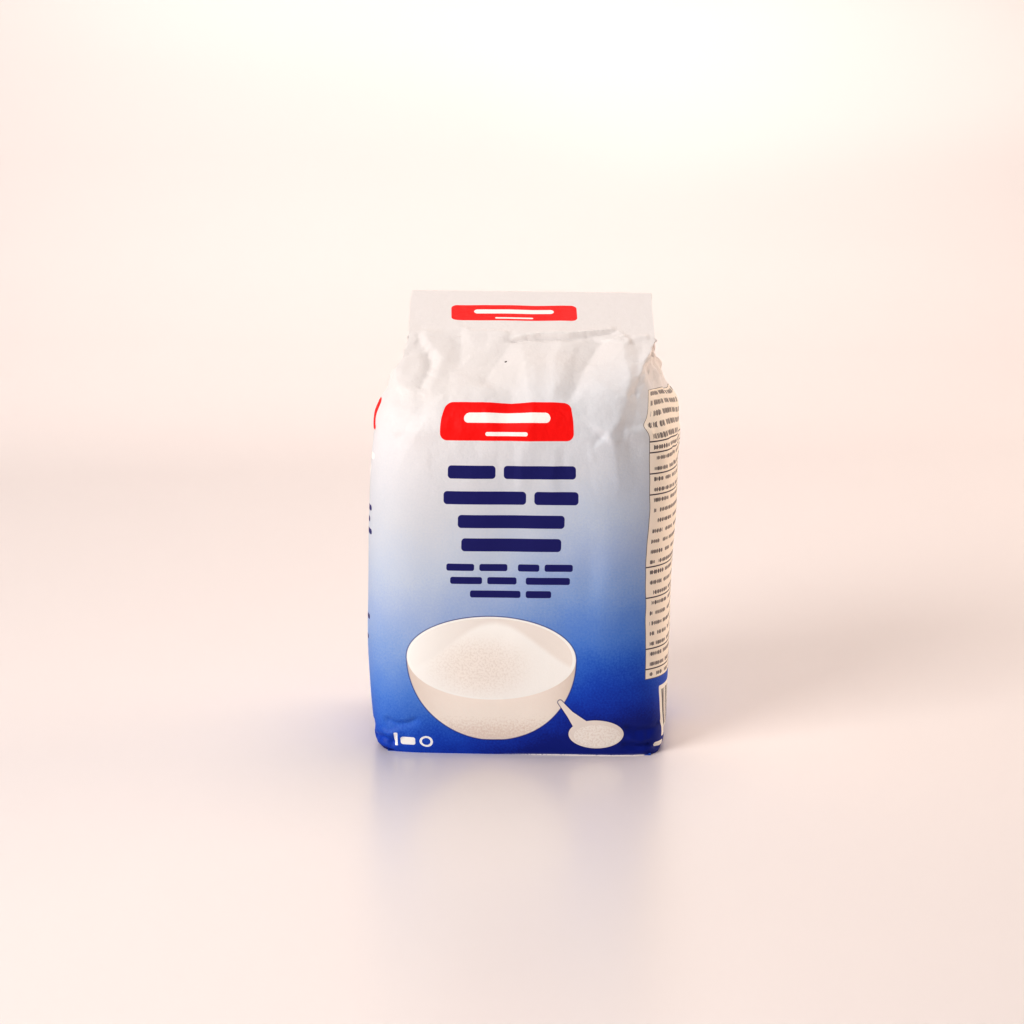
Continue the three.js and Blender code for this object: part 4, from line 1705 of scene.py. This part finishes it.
    def _close(self, mesh: bpy.types.Mesh) -> None:
        """Joins the tube's seam, closes the bottom a little above the table, and the hem's end."""
        bag = bmesh.new()
        bag.from_mesh(mesh)
        bmesh.ops.remove_doubles(bag, verts=bag.verts, dist=1e-7)
        bag.edges.ensure_lookup_table()
        rim = [e for e in bag.edges if e.is_boundary and max(v.co.z for v in e.verts) < 2.0 * MM]
        middle = sum((v.co for e in rim for v in e.verts), Vector()) / (2 * len(rim))
        extruded = bmesh.ops.extrude_edge_only(bag, edges=rim)["geom"]
        inner = [g for g in extruded if isinstance(g, bmesh.types.BMVert)]
        for vertex in inner:
            inward = (middle - vertex.co).normalized()
            vertex.co += inward * self.recess_in * MM
            vertex.co.z += self.recess * MM
        bmesh.ops.holes_fill(bag, edges=[e for e in bag.edges if e.is_boundary], sides=0)
        bmesh.ops.recalc_face_normals(bag, faces=bag.faces)
        paper, bake = (bag.loops.layers.uv[name] for name in (PAPER_MAP, BAKE_MAP))
        size = Vector((self.tube.width, self.tube.depth)) * 1.3 * MM
        for face in bag.faces:
            face.smooth = True
            low = max(v.co.z for v in face.verts) < 1.5 * MM and abs(face.normal.z) > 0.3
            if len(face.verts) == 4 and not low:
                continue
            for loop in face.loops:
                away = loop.vert.co.xy - middle.xy
                loop[bake].uv = (
                    self.bake_caps[0] + self.caps_size[0] * away.x / size.x,
                    self.bake_caps[1] + self.caps_size[1] * away.y / size.y,
                )
                if low:
                    loop[paper].uv = (0.0, -6.0)
        finished(bag, mesh)
        mesh.set_sharp_from_angle(angle=self.sharp)

    def build(self, material: bpy.types.Material) -> bpy.types.Object:
        """Makes the piece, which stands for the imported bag."""
        piece = add_piece("bag_shell", self.mesh(), material)
        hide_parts(NODE)
        return piece


@dataclass
class FoldedBottom:
    """The flaps that close the bottom: two from the ends, then the back's and the front's."""

    tube: PaperTube
    offset: Array
    thickness: float = 0.22
    margin: float = 2.2
    end_flap: float = 31.0
    long_flap: float = 44.0
    slant: float = 17.0
    long_slant: float = 9.0
    aside: float = 1.7

    def _flap(
        self, size: Place, slant: float, middle: Vector, turn: float, bottom: float
    ) -> bmesh.types.BMesh:
        """One flap as a thin plate whose free side is narrower by slant at each end."""
        flap = bmesh.new()
        bmesh.ops.create_grid(flap, x_segments=12, y_segments=6, size=0.5)
        for vertex in flap.verts:
            free = vertex.co.y + 0.5
            vertex.co.x *= size[0] - 2.0 * slant * free
            vertex.co.y *= size[1]
        bmesh.ops.solidify(flap, geom=flap.faces, thickness=self.thickness)
        low = min(v.co.z for v in flap.verts)
        bmesh.ops.translate(flap, verts=flap.verts, vec=(0.0, 0.0, bottom - low))
        c, s = math.cos(turn), math.sin(turn)
        for vertex in flap.verts:
            x, y = vertex.co.x, vertex.co.y
            vertex.co.x, vertex.co.y = x * c - y * s + middle.x, x * s + y * c + middle.y
        return flap

    def build(self, material: bpy.types.Material) -> bpy.types.Object:
        """Makes the four flaps as one piece under the bag."""
        width = self.tube.width - 2.0 * self.margin
        depth = self.tube.depth - 2.0 * self.margin
        axis = Vector((self.aside + self.offset[0], self.offset[1], 0.0))
        twist = self.tube.twist_bottom
        end_size, long_size = (depth, self.end_flap), (width, self.long_flap)
        beside, behind = (width - self.end_flap) / 2.0, (depth - self.long_flap) / 2.0
        plans = (
            (end_size, self.slant, (-beside, 0.0), -math.pi / 2.0, 2.0),
            (end_size, self.slant, (beside, 0.0), math.pi / 2.0, 2.0),
            (long_size, self.long_slant, (0.0, behind), math.pi, 1.0),
            (long_size, self.long_slant, (0.0, -behind), 0.0, 0.0),
        )
        whole = bmesh.new()
        mesh = bpy.data.meshes.new("bottom_flaps")
        for size, slant, (x, y), turn, level in plans:
            middle = Vector((
                x * math.cos(twist) - y * math.sin(twist),
                x * math.sin(twist) + y * math.cos(twist),
                0.0,
            ))
            flap = self._flap(size, slant, middle + axis, turn + twist, level * self.thickness)
            whole.from_mesh(finished(flap, mesh))
        bmesh.ops.recalc_face_normals(whole, faces=whole.faces)
        bmesh.ops.scale(whole, verts=whole.verts, vec=(MM, MM, MM))
        return add_piece("bottom_flaps", finished(whole, mesh), material)


@dataclass
class BackSeam:
    """The glued overlap that closes the tube, running up the back."""

    shell: BagShell
    middle: float = 148.0
    width: float = 15.0
    thickness: float = 0.30
    bottom: float = 1.0

    def build(self, material: bpy.types.Material) -> bpy.types.Object:
        """Makes the overlap as a thin strip lying on the back panel."""
        tube = self.shell.tube
        stations = self.shell.stations()
        stations = stations[np.abs(stations - self.middle) < self.width / 2.0]
        heights = self.shell.heights()
        heights = heights[(heights > self.bottom) & (heights < tube.ridge - 1.0)]
        points = self.shell.surface(stations, heights, self.thickness)
        buried = self.shell.surface(stations, heights, -self.thickness)
        edge = np.array([0, len(stations) - 1])
        points[:, edge] = buried[:, edge]
        columns, rows = len(stations) - 1, len(heights) - 1
        grid = bmesh.new()
        bmesh.ops.create_grid(grid, x_segments=columns, y_segments=rows, size=1.0)
        paper = grid.loops.layers.uv.new(PAPER_MAP)
        places = {}
        for vertex in grid.verts:
            column = round((vertex.co.x + 1.0) / 2.0 * columns)
            row = round((vertex.co.y + 1.0) / 2.0 * rows)
            places[vertex] = (float(stations[column]), float(heights[row]))
            vertex.co = Vector(points[row, column]) * MM
        for face in grid.faces:
            face.smooth = True
            for loop in face.loops:
                loop[paper].uv = places[loop.vert]
        bmesh.ops.solidify(grid, geom=grid.faces, thickness=-0.3 * self.thickness * MM)
        bmesh.ops.recalc_face_normals(grid, faces=grid.faces)
        mesh = finished(grid, bpy.data.meshes.new("back_seam"))
        return add_piece("back_seam", mesh, material)


# --------------------------------------------------------------------------- the studio


@dataclass(frozen=True)
class Camera:
    """The photograph's camera, found from the bag's outline in the 1024 pixel square frame."""

    frame_size: float = 1024.0
    focal_pixels: float = 2062.0
    sensor: float = 36.0
    elevation: float = math.radians(12.5)
    azimuth: float = math.radians(5.0)
    distance: float = 780.0
    target_height: float = 83.9
    axis_column: float = 519.0

    def build(self, axis_x: float) -> bpy.types.Object:
        """Makes the camera.

        Args:
            axis_x: Where the paper tube's axis stands in X, in millimetres.

        Returns:
            The camera object, already the scene's own.
        """
        data = bpy.data.cameras.new("camera")
        data.sensor_width = self.sensor
        data.lens = self.focal_pixels / self.frame_size * self.sensor
        data.clip_start, data.clip_end = 0.05, 20.0
        camera = link("camera", data)
        level = math.cos(self.elevation)
        forward = Vector((
            -math.sin(self.azimuth) * level,
            math.cos(self.azimuth) * level,
            -math.sin(self.elevation),
        ))
        right = Vector((math.cos(self.azimuth), math.sin(self.azimuth), 0.0))
        aside = (self.axis_column - self.frame_size / 2.0) / self.focal_pixels * self.distance
        target = Vector((axis_x, 0.0, self.target_height)) - right * aside
        camera.location = (target - forward * self.distance) * MM
        look_along(camera, forward)
        bpy.context.scene.camera = camera
        return camera


@dataclass(frozen=True)
class Lamp:
    """A soft square lamp."""

    name: str
    place: tuple[float, float, float]
    aim: tuple[float, float, float]
    size: float
    watts: float
    colour: Colour

    def build(self) -> None:
        """Makes the lamp, facing its aim."""
        data = bpy.data.lights.new(self.name, "AREA")
        data.shape = "SQUARE"
        data.size = self.size
        data.energy = self.watts
        data.color = self.colour
        lamp = link(self.name, data)
        lamp.location = self.place
        look_along(lamp, Vector(self.aim) - Vector(self.place))


@dataclass(frozen=True)
class Studio:
    """A pale table that curves up into a backdrop, a large soft lamp at the left and a fill."""

    reach: float = 3.0
    back: float = 0.9
    bend: float = 0.5
    wall: float = 2.2
    table_colour: Colour = srgb(240, 231, 228)
    table_roughness: float = 0.28
    table_specular: float = 0.45
    world_colour: Colour = (1.0, 0.96, 0.935)
    world_strength: float = 0.2
    look: str = "High Contrast"
    lamps: tuple[Lamp, ...] = (
        Lamp("key", (-0.86, -0.84, 0.72), (0.0, 0.0, 0.07), 0.7, 10.3, (1.0, 0.99, 0.98)),
        Lamp("fill", (1.08, 0.42, 0.24), (0.0, 0.0, 0.07), 0.7, 5.6, (1.0, 0.82, 0.67)),
        Lamp("top", (0.22, 0.6, 1.5), (0.1, 0.35, 0.0), 1.0, 5.6, (1.0, 0.95, 0.92)),
        Lamp("backdrop", (-0.35, 0.55, 1.1), (-0.6, 1.55, 1.0), 1.2, 5.7, (1.0, 0.96, 0.93)),
    )

    def _floor(self) -> None:
        """Makes the table and backdrop in one sweep."""
        sweep = bmesh.new()
        bmesh.ops.create_grid(sweep, x_segments=2, y_segments=64, size=1.0)
        bend_length = self.bend * math.pi / 2.0
        total = self.reach + self.back + bend_length + self.wall
        for vertex in sweep.verts:
            run = (vertex.co.y + 1.0) / 2.0 * total - self.reach
            angle = min(max(run - self.back, 0.0), bend_length) / self.bend
            risen = max(run - self.back - bend_length, 0.0)
            vertex.co.x *= self.reach
            vertex.co.y = min(run, self.back) + self.bend * math.sin(angle)
            vertex.co.z = self.bend * (1.0 - math.cos(angle)) + risen
        for face in sweep.faces:
            face.smooth = True
        mesh = finished(sweep, bpy.data.meshes.new("table"))
        table = link("table", mesh)
        finish, _, shader = new_material("table")
        shader["Base Color"].default_value = (*self.table_colour, 1.0)
        shader["Roughness"].default_value = self.table_roughness
        shader["Specular IOR Level"].default_value = self.table_specular
        mesh.materials.append(finish)

    def build(self) -> None:
        """Sets up the table, the lamps and the light all round."""
        self._floor()
        for lamp in self.lamps:
            lamp.build()
        world = bpy.data.worlds.new("studio")
        world.use_nodes = True
        light = world.node_tree.nodes["Background"]
        light.inputs["Color"].default_value = (*self.world_colour, 1.0)
        light.inputs["Strength"].default_value = self.world_strength
        bpy.context.scene.world = world
        bpy.context.scene.view_settings.view_transform = "Standard"
        bpy.context.scene.view_settings.look = self.look


# --------------------------------------------------------------------------- all together


def write_sizes() -> None:
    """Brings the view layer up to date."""
    bpy.context.view_layer.update()


def main() -> None:
    """Builds the bag, then the studio round it."""
    logging.basicConfig(level=logging.INFO, format="%(name)s: %(message)s")
    tube = PaperTube()
    shell = BagShell(tube, Relief(tube))
    Camera().build(float(shell.offset[0]))
    surface = PaperSurface().group()
    printed = PrintedPaper(tube, surface, InkFadeWithPaintedLight().group(), PrintShapes()).material()
    shell.build(printed)
    FoldedBottom(tube, shell.offset).build(PlainPaper(surface).material())
    BackSeam(shell).build(printed)
    Studio().build()
    write_sizes()


if __name__ == "__main__":
    main()
